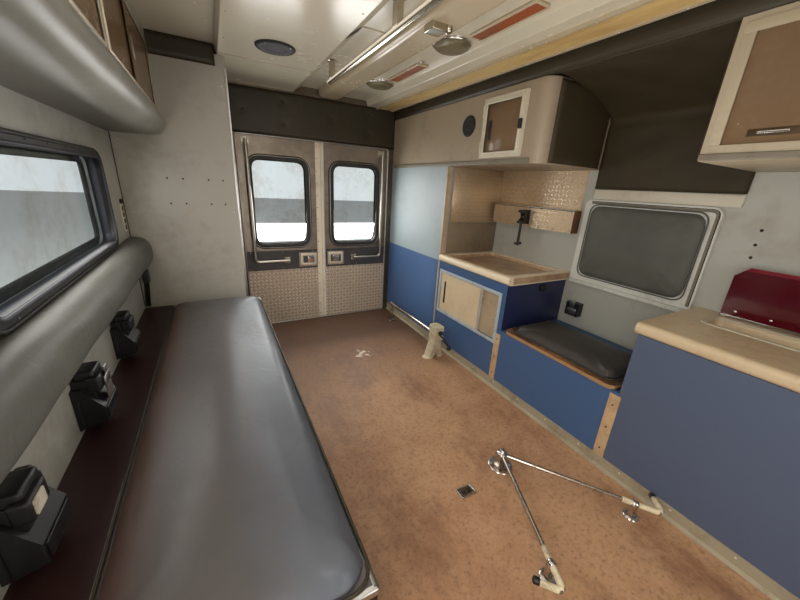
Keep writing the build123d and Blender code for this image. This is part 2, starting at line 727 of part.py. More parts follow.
# Lamps under the ceiling: the long lens of the light box, dome lamps and strip lamps
with BuildPart() as ceiling_lamps:
    lens_x = (LENS_X - LENS_W / 2 + SEAT, LENS_X + LENS_W / 2 - SEAT)
    block(lens_x, (-END_IN + SEAT, END_IN - VALANCE_T - SEAT), (BOX_H - LENS_T, BOX_H))
    for row in range(LAMP_ROWS):
        with BuildSketch(level(FLAT_H)):
            with Locations((DOME_X, FIRST_DOME_Y - row * LAMP_PITCH)):
                Circle(DOME_R)
        extrude(amount=-DOME_T, taper=DOME_TAPER)
        strip_y = FIRST_STRIP_Y - row * LAMP_PITCH
        block(grown((STRIP_LAMP_X, STRIP_LAMP_X), STRIP_LAMP_W / 2), (strip_y, strip_y + STRIP_LAMP_L),
              (FLAT_H - STRIP_LAMP_T, FLAT_H))
finish(ceiling_lamps.part, "ceiling_lamps")

# Overhead grab rail on its brackets
with BuildPart() as grab_rail:
    with BuildSketch(end_plane(RAIL_TUBE_FRONT)):
        with Locations((RAIL_TUBE_X, RAIL_TUBE_H)):
            Circle(RAIL_TUBE_R)
    extrude(amount=RAIL_TUBE_REAR - RAIL_TUBE_FRONT, dir=REARWARD)
    first_bracket = RAIL_TUBE_FRONT + RAIL_BRACKET_INSET
    last_bracket = RAIL_TUBE_REAR - RAIL_BRACKET_INSET - RAIL_BRACKET_L
    bracket_pitch = (last_bracket - first_bracket) / (RAIL_BRACKETS - 1)
    for place in range(RAIL_BRACKETS):
        bracket_y = first_bracket + place * bracket_pitch
        block(grown((RAIL_TUBE_X, RAIL_TUBE_X), RAIL_TUBE_R), (bracket_y, bracket_y + RAIL_BRACKET_L),
              (RAIL_TUBE_H, HEADROOM))
finish(grab_rail.part, "grab_rail")

# Vinyl padding: the valance over the rear doors and the headers over the cabinets
VALANCE_X = (CLOSET_X + SEAT, AISLE_X - SEAT)
with BuildPart() as wall_padding:
    block(VALANCE_X, (END_IN - VALANCE_T, END_IN - SEAT), (REAR_OPEN_H + LEAF_GAP, BOX_H - SEAT))
    header_x = (AISLE_X - HEADER_T, AISLE_X)
    block(header_x, (-END_IN + SEAT, END_IN - VALANCE_T - SEAT), (UPPER_TOP, BOX_H - SEAT))
finish(wall_padding.part, "wall_padding")

# Curb side: a tall closet behind the bench, reached from outside
with BuildPart() as closet:
    block((-SIDE_IN + SEAT, CLOSET_X), (CLOSET_Y, END_IN - SEAT), (0, SOFFIT_H - SEAT))
    block((-SIDE_IN + SEAT, SOFFIT_CURB_X - LEAF_GAP), (CLOSET_Y, END_IN - SEAT),
          (SOFFIT_H - LIP, HEADROOM - SEAT))
    block((-SIDE_IN - PANEL, CLOSET_X - PANEL), (CLOSET_Y + PANEL, END_IN), (-PANEL, HEADROOM),
          mode=Mode.SUBTRACT)
finish(closet.part, "closet")

# Bench: a hollow box along the wall, with a fixed ledge and a lid that carries the cushion
BENCH_IN = (-SIDE_IN - PANEL, BENCH_X - PANEL)
with BuildPart() as bench_box:
    block((-SIDE_IN + SEAT, BENCH_X), (BENCH_Y, CLOSET_Y - SEAT), (0, BENCH_TOP - SEAT))
    block(BENCH_IN, (BENCH_Y + PANEL, CLOSET_Y), (-PANEL, BENCH_TOP), mode=Mode.SUBTRACT)
    block((-SIDE_IN + SEAT, LEDGE_X), (BENCH_Y, CLOSET_Y - SEAT), (BENCH_TOP - BOARD_T, BENCH_TOP + BOARD_T))
finish(bench_box.part, "bench_box")

BENCH_LID_X = (LEDGE_X + LEAF_GAP, BENCH_X)
with BuildPart() as bench_lid:
    block(BENCH_LID_X, (BENCH_Y, CLOSET_Y - LEAF_GAP), (BENCH_TOP, BENCH_TOP + BOARD_T))
finish(bench_lid.part, "bench_lid")

with BuildPart() as bench_cushion:
    with BuildSketch(level(BENCH_TOP + BOARD_T)):
        span(grown(BENCH_LID_X, SEAL), (BENCH_Y, CLOSET_Y - BENCH_PAD_END), BENCH_PAD_R)
    extrude(amount=BENCH_PAD_T)
finish(bench_cushion.part, "bench_cushion")

with BuildPart() as bolster:
    with BuildSketch(end_plane(BENCH_Y)):
        span((-SIDE_IN - BOLSTER_T, -SIDE_IN + BOLSTER_T), (BOLSTER_LOW, BOLSTER_LOW + BOLSTER_H), BOLSTER_R)
        span((-SIDE_IN - 2 * BOLSTER_T, -SIDE_IN + SEAT), (0, HEADROOM), mode=Mode.SUBTRACT)
    extrude(amount=BENCH_L - SEAT, dir=REARWARD)
finish(bolster.part, "bolster")

# Belt retractors on the wall over the ledge, and one on the liner behind the single seat
SEAT_BELT_Y = 335.0
SEAT_BELT_W = 80.0
SEAT_BELT_D = 45.0
SEAT_BELT_LOW = 455.0
with BuildPart() as belt_retractors:
    belt_low = BENCH_TOP + BOARD_T + BELT_LIFT
    for belt_y in BELT_YS:
        with BuildSketch(end_plane(belt_y - BELT_W / 2)):
            with BuildLine():
                belt_nose = -SIDE_IN + BELT_D
                Polyline((-SIDE_IN + SEAT, belt_low), (belt_nose, belt_low + BELT_LIFT),
                         (belt_nose, belt_low + BELT_H / 2), (-SIDE_IN + BELT_D / 3, belt_low + BELT_H),
                         (-SIDE_IN + SEAT, belt_low + BELT_H), close=True)
            make_face()
        extrude(amount=BELT_W, dir=REARWARD)
    block((BACK_X - SEAT_BELT_D, BACK_X), (SEAT_BELT_Y - SEAT_BELT_W / 2, SEAT_BELT_Y + SEAT_BELT_W / 2),
          (SEAT_BELT_LOW, SEAT_BELT_LOW + SEAT_BELT_W))
finish(belt_retractors.part, "belt_retractors")

# Overhead cabinet over the bench, with two bays of sliding panes and a padded nose below
OVERHEAD_BAYS = 2
OVERHEAD_STILE = 45.0
OVERHEAD_V = (OVERHEAD_OPEN_LOW, OVERHEAD_OPEN_TOP)
OVERHEAD_IN_X = (-SIDE_IN - PANEL, OVERHEAD_X - PANEL)
BAY_L = (OVERHEAD_L - (OVERHEAD_BAYS + 1) * OVERHEAD_STILE) / OVERHEAD_BAYS


def bay(index):
    """The stretch of Y that one bay of the overhead cabinet takes, counted from the cab end."""
    start = OVERHEAD_Y + OVERHEAD_STILE + index * (BAY_L + OVERHEAD_STILE)
    return (start, start + BAY_L)


with BuildPart() as overhead_cabinet:
    block((-SIDE_IN + SEAT, OVERHEAD_X), (OVERHEAD_Y, CLOSET_Y - SEAT), (OVERHEAD_FLOOR, HEADROOM - SEAT))
    block(OVERHEAD_IN_X, (OVERHEAD_Y + PANEL, CLOSET_Y - PANEL), (OVERHEAD_FLOOR + PANEL, HEADROOM),
          mode=Mode.SUBTRACT)
    for index in range(OVERHEAD_BAYS):
        block((OVERHEAD_X - 2 * PANEL, OVERHEAD_X), bay(index), OVERHEAD_V, mode=Mode.SUBTRACT)
finish(overhead_cabinet.part, "overhead_cabinet")

with BuildPart() as overhead_nose:
    with BuildSketch(end_plane(OVERHEAD_Y)):
        with BuildLine():
            Line((-SIDE_IN + SEAT, OVERHEAD_WALL_H), (-SIDE_IN + SEAT, OVERHEAD_FLOOR - SEAT))
            Line((-SIDE_IN + SEAT, OVERHEAD_FLOOR - SEAT), (OVERHEAD_X + SEAT, OVERHEAD_FLOOR - SEAT))
            Line((OVERHEAD_X + SEAT, OVERHEAD_FLOOR - SEAT), (OVERHEAD_X + SEAT, NOSE_TOP))
            ThreePointArc((OVERHEAD_X + SEAT, NOSE_TOP), (OVERHEAD_X + NOSE_OUT, NOSE_H),
                          (OVERHEAD_X - SEAT, OVERHEAD_WALL_H + NOSE_OUT / 2))
            Line((OVERHEAD_X - SEAT, OVERHEAD_WALL_H + NOSE_OUT / 2), (-SIDE_IN + SEAT, OVERHEAD_WALL_H))
        make_face()
    extrude(amount=OVERHEAD_L - SEAT, dir=REARWARD)
finish(overhead_nose.part, "overhead_nose")

# Sliding panes run in two tracks inside a cabinet's face, and a fixed pane stands in the inner track
PANE_LAP = 30.0


def pane(face_x, facing, inner, y, v):
    """One upright pane in the face at face_x; facing is the way that it looks, inner picks the track."""
    near = face_x - facing * (PANE_TRACK + inner * (PANE_T + PANE_SPLIT))
    block(sorted((near, near - facing * PANE_T)), y, grown(v, -SEAT))


def half_bay(stretch, end):
    """Half of a stretch of Y plus the lap of two panes, at its low (0) or high (1) end."""
    size = (stretch[1] - stretch[0] + PANE_LAP) / 2
    return (stretch[0] + SEAT, stretch[0] + size) if end == 0 else (stretch[1] - size, stretch[1] - SEAT)


COUNTER_OPEN = (COUNTER_Y + COUNTER_OPEN_NEAR, COUNTER_Y + COUNTER_OPEN_NEAR + COUNTER_OPEN_L)
COUNTER_OPEN_V = (COUNTER_OPEN_LOW, COUNTER_OPEN_LOW + COUNTER_OPEN_H)
COUNTER_PANE_L = 430.0
COUNTER_FIXED_L = 190.0
FRONT_OPEN = (UPPER_FRONT_Y - FRONT_OPEN_NEAR - FRONT_OPEN_L, UPPER_FRONT_Y - FRONT_OPEN_NEAR)
FRONT_OPEN_V = (FRONT_OPEN_LOW, FRONT_OPEN_LOW + FRONT_OPEN_H)

with BuildPart() as fixed_panes:
    pane(OVERHEAD_X, 1, 1, half_bay(bay(0), 0), OVERHEAD_V)
    pane(OVERHEAD_X, 1, 1, half_bay(bay(1), 0), OVERHEAD_V)
    pane(AISLE_X, -1, 1, (COUNTER_OPEN[0] + SEAT, COUNTER_OPEN[0] + COUNTER_FIXED_L), COUNTER_OPEN_V)
    pane(AISLE_X, -1, 1, half_bay(FRONT_OPEN, 0), FRONT_OPEN_V)
finish(fixed_panes.part, "fixed_panes")

with BuildPart() as overhead_pane_front:
    pane(OVERHEAD_X, 1, 0, half_bay(bay(0), 1), OVERHEAD_V)
finish(overhead_pane_front.part, "overhead_pane_front")

with BuildPart() as overhead_pane_rear:
    pane(OVERHEAD_X, 1, 0, half_bay(bay(1), 1), OVERHEAD_V)
finish(overhead_pane_rear.part, "overhead_pane_rear")

with BuildPart() as counter_pane:
    pane(AISLE_X, -1, 0, (COUNTER_OPEN[1] - COUNTER_PANE_L, COUNTER_OPEN[1] - SEAT), COUNTER_OPEN_V)
finish(counter_pane.part, "counter_pane")

with BuildPart() as upper_pane:
    pane(AISLE_X, -1, 0, half_bay(FRONT_OPEN, 1), FRONT_OPEN_V)
finish(upper_pane.part, "upper_pane")

# Street side: the wall liner, cut for the outside hatches and for the store behind the seat back, which
# hangs on a rail
BACK_Y = (COUNTER_Y - BACK_REAR - BACK_W, COUNTER_Y - BACK_REAR)
BACK_PANEL_X = (BACK_X - SEAT - BACK_T, BACK_X - SEAT)
BACK_PIN_H = BACK_LOW - BACK_PIN_DROP
BACK_RAIL_V = (BACK_PIN_H - BARREL_R - SEAT - BACK_RAIL_H, BACK_PIN_H - BARREL_R - SEAT)
with BuildPart() as street_liner:
    with BuildSketch(side_plane(LINER_X)):
        span((-END_IN + SEAT, END_IN - SEAT), (0, BOX_H - SEAT))
        span(REAR_HATCH, (HATCH_LOW, HATCH_LOW + REAR_HATCH_H), mode=Mode.SUBTRACT)
        span(FRONT_HATCH, (HATCH_LOW, HATCH_LOW + FRONT_HATCH_H), mode=Mode.SUBTRACT)
        span(grown(BACK_Y, -BACK_STORE_RIM), (BACK_LOW + BACK_STORE_RIM, BACK_LOW + BACK_H - BACK_STORE_RIM),
             mode=Mode.SUBTRACT)
    extrude(amount=LINER_T - SEAT)
    block((BACK_PANEL_X[0] - BARREL_R, LINER_X + LINER_T / 2), BACK_Y, BACK_RAIL_V)
finish(street_liner.part, "street_liner")

# Rear locker, reached from outside, full depth up to the upper cabinet
with BuildPart() as street_locker:
    block((AISLE_X, BACK_X), (LOCKER_Y, END_IN - SEAT), (0, LOCKER_H - SEAT))
    block((AISLE_X + PANEL, BACK_X + PANEL), (LOCKER_Y + PANEL, END_IN), (-PANEL, LOCKER_H - PANEL),
          mode=Mode.SUBTRACT)
finish(street_locker.part, "street_locker")


# Upper rear cabinet, with a rounded end and a small hinged door
def upper_plan(inset):
    """The upper rear cabinet seen from above, with its rounded corner at the alcove."""
    low = (AISLE_X + inset, UPPER_REAR_Y + inset)
    radius = UPPER_ROUND_R - inset
    back = BACK_X + (PANEL if inset else 0)
    with BuildLine() as outline:
        Line((low[0] + radius, low[1]), (back, low[1]))
        Line((back, low[1]), (back, END_IN - SEAT - inset))
        Line((back, END_IN - SEAT - inset), (low[0], END_IN - SEAT - inset))
        Line((low[0], END_IN - SEAT - inset), (low[0], low[1] + radius))
        RadiusArc((low[0], low[1] + radius), (low[0] + radius, low[1]), -radius)
    make_face(outline.edges())


SMALL_DOOR_Y = (UPPER_REAR_Y + SMALL_DOOR_NEAR, UPPER_REAR_Y + SMALL_DOOR_NEAR + SMALL_DOOR_W)
SMALL_DOOR_V = (SMALL_DOOR_LOW, SMALL_DOOR_LOW + SMALL_DOOR_H)
with BuildPart() as upper_rear_cabinet:
    with BuildSketch(level(UPPER_REAR_LOW)):
        upper_plan(0)
    extrude(amount=UPPER_TOP - UPPER_REAR_LOW)
    with BuildSketch(level(UPPER_REAR_LOW + PANEL)):
        upper_plan(PANEL)
    extrude(amount=UPPER_TOP - UPPER_REAR_LOW - 2 * PANEL, mode=Mode.SUBTRACT)
    block((AISLE_X - PANEL, AISLE_X + 2 * PANEL), grown(SMALL_DOOR_Y, -LIP), grown(SMALL_DOOR_V, -LIP),
          mode=Mode.SUBTRACT)
finish(upper_rear_cabinet.part, "upper_rear_cabinet")

with BuildPart() as small_door:
    door_face = AISLE_X - SEAT - SMALL_DOOR_T
    block((door_face, AISLE_X - SEAT), SMALL_DOOR_Y, SMALL_DOOR_V)
    block((door_face - PANEL, door_face + SMALL_DOOR_T / 2), grown(SMALL_DOOR_Y, -SMALL_FRAME_W),
          grown(SMALL_DOOR_V, -SMALL_FRAME_W), mode=Mode.SUBTRACT)
    for hinge_h in grown(SMALL_DOOR_V, -2 * SMALL_FRAME_W):
        hinge_v = grown((hinge_h, hinge_h), SMALL_FRAME_W)
        barrel(AISLE_X - SMALL_DOOR_T, SMALL_DOOR_Y[1] + BARREL_R / 2, hinge_v)
finish(small_door.part, "small_door")

# Padded alcove over the single seat: back pad, sloped top pad and two side pads
ALCOVE_Y = (UPPER_FRONT_Y + SEAT, UPPER_REAR_Y - SEAT)
with BuildPart() as alcove_pads:
    with BuildSketch(end_plane(ALCOVE_Y[0])):
        with BuildLine():
            outer_line = Polyline((BACK_X, ALCOVE_BACK_LOW), (BACK_X, BOX_H - SEAT),
                                  (AISLE_X + SEAT, BOX_H - SEAT), (AISLE_X + SEAT, UPPER_TOP))
            top_end = (BACK_X - ALCOVE_PAD_T, ALCOVE_BACK_TOP - ALCOVE_PAD_T)
            TangentArc(outer_line @ 1, top_end, tangent=(1, 0))
            Polyline(top_end, (BACK_X - ALCOVE_PAD_T, ALCOVE_BACK_LOW), (BACK_X, ALCOVE_BACK_LOW))
        make_face()
    extrude(amount=ALCOVE_Y[1] - ALCOVE_Y[0], dir=REARWARD)
finish(alcove_pads.part, "alcove_pads")

# Niche over the rear counter: tread plate on two walls and a long plate box, with a pole clamp on it
NICHE_BOX_Y = (LOCKER_Y - NICHE_BOX_REAR - NICHE_BOX_L, LOCKER_Y - NICHE_BOX_REAR)
NICHE_BOX_V = (NICHE_BOX_LOW, NICHE_BOX_LOW + NICHE_BOX_H)
with BuildPart() as niche_plates:
    back_plate_v = (NICHE_BOX_V[1] + SEAT, UPPER_REAR_LOW - SEAT)
    block((BACK_X - PLATE_T, BACK_X), (COUNTER_Y, LOCKER_Y - SEAT - PLATE_T), back_plate_v)
    side_plate_y = (LOCKER_Y - SEAT - PLATE_T, LOCKER_Y - SEAT)
    block((AISLE_X + 3 * PANEL, BACK_X), side_plate_y, (NICHE_PLATE_LOW, UPPER_REAR_LOW - SEAT))
    block((BACK_X - NICHE_BOX_D, BACK_X), NICHE_BOX_Y, NICHE_BOX_V)
    box_hollow = (NICHE_BOX_Y[0] - PLATE_T, NICHE_BOX_Y[1] - PLATE_T)
    block((BACK_X - NICHE_BOX_D + PLATE_T, BACK_X + PLATE_T), box_hollow, grown(NICHE_BOX_V, -PLATE_T),
          mode=Mode.SUBTRACT)
finish(niche_plates.part, "niche_plates")

CLAMP_Y = 780.0
CLAMP_W = 40.0
CLAMP_D = 62.0
CLAMP_V = (956.0, 1043.0)
SCREW_R = 8.0
SCREW_DROP = 150.0
JAW_R = 28.0
JAW_TIP_R = 8.0
with BuildPart() as pole_clamp:
    clamp_x = (BACK_X - NICHE_BOX_D - CLAMP_D, BACK_X - NICHE_BOX_D - SEAT)
    with BuildSketch(end_plane(CLAMP_Y - CLAMP_W / 2)):
        span(clamp_x, CLAMP_V, JAW_TIP_R)
        with Locations((clamp_x[0], sum(CLAMP_V) / 2)):
            Circle(JAW_R, mode=Mode.SUBTRACT)
    extrude(amount=CLAMP_W, dir=REARWARD)
    with BuildSketch(level(CLAMP_V[0] + SHEET)):
        with Locations((clamp_x[0] + CLAMP_W / 2, CLAMP_Y)):
            Circle(SCREW_R)
    extrude(amount=-SCREW_DROP)
    handle_h = CLAMP_V[0] - SCREW_DROP + 2 * SCREW_R
    with BuildSketch(side_plane(clamp_x[0] + CLAMP_W / 2 - 3 * SCREW_R)):
        with Locations((CLAMP_Y, handle_h)):
            Circle(SCREW_R / 2)
    extrude(amount=6 * SCREW_R)
finish(pole_clamp.part, "pole_clamp")

# Rear counter: a hollow base with a pane-fronted bay, under a rimmed tray top
COUNTER_END = LOCKER_Y - SEAT
with BuildPart() as rear_counter:
    block((AISLE_X, BACK_X), (COUNTER_Y, COUNTER_END), (0, BASE_H - SEAT))
    shelf_h = COUNTER_OPEN_LOW - PANEL
    inner_y = (COUNTER_Y + PANEL, COUNTER_END - PANEL)
    block((AISLE_X + PANEL, BACK_X + PANEL), inner_y, (shelf_h, BASE_H - PANEL), mode=Mode.SUBTRACT)
    block((AISLE_X + PANEL, BACK_X + PANEL), inner_y, (-PANEL, shelf_h - PANEL), mode=Mode.SUBTRACT)
    block((AISLE_X - PANEL, AISLE_X + 2 * PANEL), COUNTER_OPEN, COUNTER_OPEN_V, mode=Mode.SUBTRACT)
finish(rear_counter.part, "rear_counter")

TOP_X = (AISLE_X - TOP_OVER, BACK_X)
with BuildPart() as rear_counter_top:
    block(TOP_X, (COUNTER_Y - TOP_OVER, COUNTER_END), (BASE_H, COUNTER_H))
    fillet(edges().filter_by(Axis.Y).group_by(Axis.X)[0], TOP_NOSE_R)
    with BuildSketch(level(COUNTER_H)):
        span(grown(TOP_X, -TRAY_RIM), grown((COUNTER_Y - TOP_OVER, COUNTER_END), -TRAY_RIM), TRAY_R)
    extrude(amount=-TRAY_DEEP, taper=TRAY_DRAFT, mode=Mode.SUBTRACT)
finish(rear_counter_top.part, "rear_counter_top")

# Single seat: a hollow box between the counters, its hinged lid with the cushion, and the folding back
SEAT_Y = (FRONT_COUNTER_Y + SEAT, COUNTER_Y - SEAT)
SEAT_HINGE_X = BACK_X - SEAT_LEDGE_W
with BuildPart() as seat_box:
    block((AISLE_X, BACK_X), SEAT_Y, (0, SEAT_BOX_H - SEAT))
    block((AISLE_X + PANEL, SEAT_HINGE_X), grown(SEAT_Y, -PANEL), (-PANEL, SEAT_BOX_H), mode=Mode.SUBTRACT)
    block((AISLE_X + PANEL, BACK_X - PANEL), grown(SEAT_Y, -PANEL), (-PANEL, SEAT_BOX_H - PANEL),
          mode=Mode.SUBTRACT)
finish(seat_box.part, "seat_box")

SEAT_LID_X = (AISLE_X - SEAT_LID_OVER, SEAT_HINGE_X - SEAL)
SEAT_LID_Y = (FRONT_COUNTER_Y + TOP_OVER + SEAT_LID_SIDE, COUNTER_Y - TOP_OVER - SEAT_LID_SIDE)
with BuildPart() as seat_lid:
    block(SEAT_LID_X, SEAT_LID_Y, (SEAT_BOX_H, SEAT_BOX_H + BOARD_T))
    fillet(edges().filter_by(Axis.Z).group_by(Axis.X)[0], SEAT_LID_R)
finish(seat_lid.part, "seat_lid")

SEAT_PAD_X = (AISLE_X + PANEL, SEAT_HINGE_X - 2 * PANEL)
with BuildPart() as seat_cushion:
    with BuildSketch(level(SEAT_BOX_H + BOARD_T)):
        span(SEAT_PAD_X, grown(SEAT_LID_Y, -PANEL), SEAT_LID_R)
    extrude(amount=SEAT_PAD_T)
finish(seat_cushion.part, "seat_cushion")

BACK_V = (BACK_LOW, BACK_LOW + BACK_H)
with BuildPart() as seat_back:
    with BuildSketch(side_plane(BACK_PANEL_X[0])):
        span(BACK_Y, BACK_V, BACK_R)
        span(BACK_Y, (BACK_LOW, BACK_LOW + BACK_R))
    extrude(amount=BACK_T)
    with BuildSketch(end_plane(BACK_Y[0])):
        with Locations((BACK_PANEL_X[0], BACK_PIN_H)):
            Circle(BARREL_R)
    extrude(amount=BACK_W, dir=REARWARD)
finish(seat_back.part, "seat_back")

with BuildPart() as seat_back_pad:
    with BuildSketch(side_plane(BACK_PANEL_X[0] - BACK_PAD_T)):
        span(grown(BACK_Y, -BACK_PAD_SIDE / 2), grown(BACK_V, -BACK_PAD_RIM), BACK_R + BACK_PAD_RIM)
    extrude(amount=BACK_PAD_T)
finish(seat_back_pad.part, "seat_back_pad")

# Front counter: a hollow base reached from outside, and its top with the sunk basin
FRONT_END = -END_IN + SEAT
with BuildPart() as front_counter:
    block((AISLE_X, BACK_X), (FRONT_END, FRONT_COUNTER_Y), (0, BASE_H - SEAT))
    block((AISLE_X + PANEL, BACK_X + PANEL), (-END_IN - PANEL, FRONT_COUNTER_Y - PANEL),
          (-PANEL, BASE_H - PANEL), mode=Mode.SUBTRACT)
finish(front_counter.part, "front_counter")

BASIN_Y = (FRONT_COUNTER_Y - BASIN_NEAR - BASIN_L, FRONT_COUNTER_Y - BASIN_NEAR)
with BuildPart() as front_counter_top:
    block(TOP_X, (FRONT_END, FRONT_COUNTER_Y + TOP_OVER), (BASE_H, COUNTER_H))
    fillet(edges().filter_by(Axis.Y).group_by(Axis.X)[0], TOP_NOSE_R)
    with BuildSketch(level(COUNTER_H)):
        span((BASIN_X - BASIN_W / 2, BASIN_X + BASIN_W / 2), BASIN_Y, TRAY_R)
    extrude(amount=-BASIN_DEEP, taper=TRAY_DRAFT, mode=Mode.SUBTRACT)
finish(front_counter_top.part, "front_counter_top")

# Red acrylic lid, which stands open against the wall and folds down over the basin
RED_LID_Y = (FRONT_COUNTER_Y - RED_LID_NEAR - RED_LID_L, FRONT_COUNTER_Y - RED_LID_NEAR)
RED_PIN_H = COUNTER_H + RED_BARREL_R + SEAT
RED_CORNER = 40.0
RED_FOLD = 12.0
with BuildPart() as red_lid:
    with BuildSketch(side_plane(RED_LID_X - RED_LID_T / 2)):
        span(RED_LID_Y, (RED_PIN_H, RED_PIN_H + RED_LID_H))
        chamfer(vertices().group_by(Axis.Y)[-1], RED_CORNER)
    extrude(amount=RED_LID_T)
    block((RED_LID_X, RED_LID_X + RED_FOLD), (RED_LID_Y[0] + RED_CORNER, RED_LID_Y[1] - RED_CORNER),
          (RED_PIN_H + RED_LID_H - RED_LID_T, RED_PIN_H + RED_LID_H))
    with BuildSketch(end_plane(RED_LID_Y[0])):
        with Locations((RED_LID_X, RED_PIN_H)):
            Circle(RED_BARREL_R)
    extrude(amount=RED_LID_L, dir=REARWARD)
finish(red_lid.part, "red_lid")

# Upper front cabinet with its pane-fronted bay
with BuildPart() as upper_front_cabinet:
    block((AISLE_X, BACK_X), (FRONT_END, UPPER_FRONT_Y), (UPPER_FRONT_LOW, UPPER_TOP))
    block((AISLE_X + PANEL, BACK_X + PANEL), (FRONT_END + PANEL, UPPER_FRONT_Y - PANEL),
          (UPPER_FRONT_LOW + PANEL, UPPER_TOP - PANEL), mode=Mode.SUBTRACT)
    block((AISLE_X - PANEL, AISLE_X + 2 * PANEL), FRONT_OPEN, FRONT_OPEN_V, mode=Mode.SUBTRACT)
finish(upper_front_cabinet.part, "upper_front_cabinet")

# Cot fittings: a side rail with its clamp post, the front hooks and the catch plate
with BuildPart() as cot_fittings:
    jaw = 2 * COT_TUBE_R
    rod([(COT_BAR_X, COT_BAR_Y[0] - jaw, COT_BAR_H), (COT_BAR_X, COT_BAR_Y[1], COT_BAR_H)], COT_TUBE_R)
    shoe_y = (COT_BAR_Y[1] - jaw / 2, COT_BAR_Y[1])
    block(grown((COT_BAR_X, COT_BAR_X), jaw), (shoe_y[0] - jaw, shoe_y[1]), (0, COT_SHOE_T))
    with BuildSketch(end_plane(shoe_y[0])):
        with BuildLine():
            Polyline((COT_BAR_X - jaw, 0), (COT_BAR_X - COT_TUBE_R, COT_BAR_H),
                     (COT_BAR_X + COT_TUBE_R, COT_BAR_H), (COT_BAR_X + jaw, 0), close=True)
        make_face()
        with Locations((COT_BAR_X, COT_BAR_H)):
            Circle(jaw / 2 + COT_SHOE_T)
    extrude(amount=jaw / 2, dir=REARWARD)
    post_y = (COT_POST_Y - jaw, COT_BAR_Y[0] - jaw / 2)
    with BuildSketch(end_plane(post_y[0])):
        with BuildLine():
            foot = COT_FOOT_W / 2
            arch = COT_FOOT_ARCH / 2
            waist = COT_POST_H / 2
            post_x = (COT_POST_X - COT_POST_W / 2, COT_BAR_X + COT_TUBE_R)
            Polyline((COT_POST_X - foot, 0), (post_x[0], waist), (post_x[0], COT_POST_H),
                     (post_x[1], COT_POST_H), (post_x[1], waist), (COT_POST_X + foot, 0),
                     (COT_POST_X + arch, 0), (COT_POST_X, 2 * arch), (COT_POST_X - arch, 0), close=True)
        make_face()
    extrude(amount=post_y[1] - post_y[0], dir=REARWARD)
    hub = Vector(HOOK_BLOCK[0], HOOK_BLOCK[1], HOOK_H)
    for side, hook_x in zip((-1, 1), HOOK_ENDS):
        arm_end = Vector(hook_x, HOOK_FRONT, HOOK_H)
        horn = Vector(side * HOOK_HORN[0], HOOK_HORN[1], 0)
        turn_in = arm_end + (hub - arm_end).normalized() * HOOK_BEND
        turn_out = arm_end + horn.normalized() * HOOK_BEND
        rod([tuple(point) for point in (hub, turn_in, turn_out, arm_end + horn)], HOOK_TUBE_R)
        foot = hub + (arm_end - hub) * HOOK_FOOT_AT
        block(grown((foot.X, foot.X), 2 * HOOK_TUBE_R), grown((foot.Y, foot.Y), HOOK_TUBE_R), (0, HOOK_H))
    block(grown((hub.X, hub.X), 3 * HOOK_TUBE_R), grown((hub.Y, hub.Y), 2 * HOOK_TUBE_R),
          (0, HOOK_H + HOOK_TUBE_R / 2))
    block(grown((CATCH_X, CATCH_X), CATCH_W / 2), grown((CATCH_Y, CATCH_Y), CATCH_L / 2), (0, SHEET))
finish(cot_fittings.part, "cot_fittings")

# Outside lamps: warning lamps at the upper corners and scene lamps between them
LAMP_W = 220.0
LAMP_H = 170.0
LAMP_T = 28.0
LAMP_TAPER = 12.0
LAMP_TOP = 60.0
LAMP_SIDE = 60.0
SCENE_W = 230.0
lamp_v = (ROOF_H - LAMP_TOP - LAMP_H, ROOF_H - LAMP_TOP)
with BuildPart() as outside_lamps:
    for side in (-1, 1):
        for lamp_y in (-END + LAMP_SIDE, END - LAMP_SIDE - LAMP_W, -SCENE_W / 2):
            with BuildSketch(side_plane(side * SIDE)):
                span((lamp_y, lamp_y + LAMP_W), lamp_v)
            extrude(amount=LAMP_T, dir=(side, 0, 0), taper=LAMP_TAPER)
        for end in (-1, 1):
            lamp_x = sorted((side * (SIDE - LAMP_SIDE), side * (SIDE - LAMP_SIDE - LAMP_W)))
            with BuildSketch(end_plane(end * END)):
                span(lamp_x, lamp_v)
            extrude(amount=LAMP_T, dir=(0, end, 0), taper=LAMP_TAPER)
finish(outside_lamps.part, "outside_lamps")

# Aluminium extrusions: drip rails over the side doors and hatches, rub rails along the skirts, and the kick
# trim along the foot of the street-side cabinets inside
DRIP_W = 14.0
DRIP_H = 16.0
RUB_T = 12.0
RUB_V = (-330.0, -270.0)
with BuildPart() as body_trim:
    drips = ((-1, ENTRY, ENTRY_TOP), (-1, CURB_HATCH, HATCH_LOW + CURB_HATCH_H),
             (1, REAR_HATCH, HATCH_LOW + REAR_HATCH_H), (1, FRONT_HATCH, HATCH_LOW + FRONT_HATCH_H))
    for side, stretch, top in drips:
        drip_h = top + LIP + 2 * LEAF_GAP
        drip_x = sorted((side * (SIDE + SEAT), side * (SIDE + DRIP_W)))
        block(drip_x, grown(stretch, 2 * LIP), (drip_h, drip_h + DRIP_H))
    arch_ends = (WHEEL_Y - ARCH_HALF - LIP, WHEEL_Y + ARCH_HALF + LIP)
    for side in (-1, 1):
        rub_x = sorted((side * (SIDE + SEAT), side * (SIDE + RUB_T)))
        for stretch in ((-END_IN, arch_ends[0]), (arch_ends[1], END_IN)):
            block(rub_x, stretch, RUB_V)
    with BuildSketch(end_plane(-END_IN + SEAT)):
        with BuildLine():
            kick_x = (AISLE_X - KICK_T, AISLE_X - SEAT)
            Polyline((kick_x[0], SEAT), (kick_x[1], SEAT), (kick_x[1], KICK_H), (AISLE_X - SHEET, KICK_H),
                     (AISLE_X - SHEET, KICK_T), (kick_x[0], SHEET), close=True)
        make_face()
    extrude(amount=2 * (END_IN - SEAT), dir=REARWARD)
finish(body_trim.part, "body_trim")
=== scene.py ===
import math

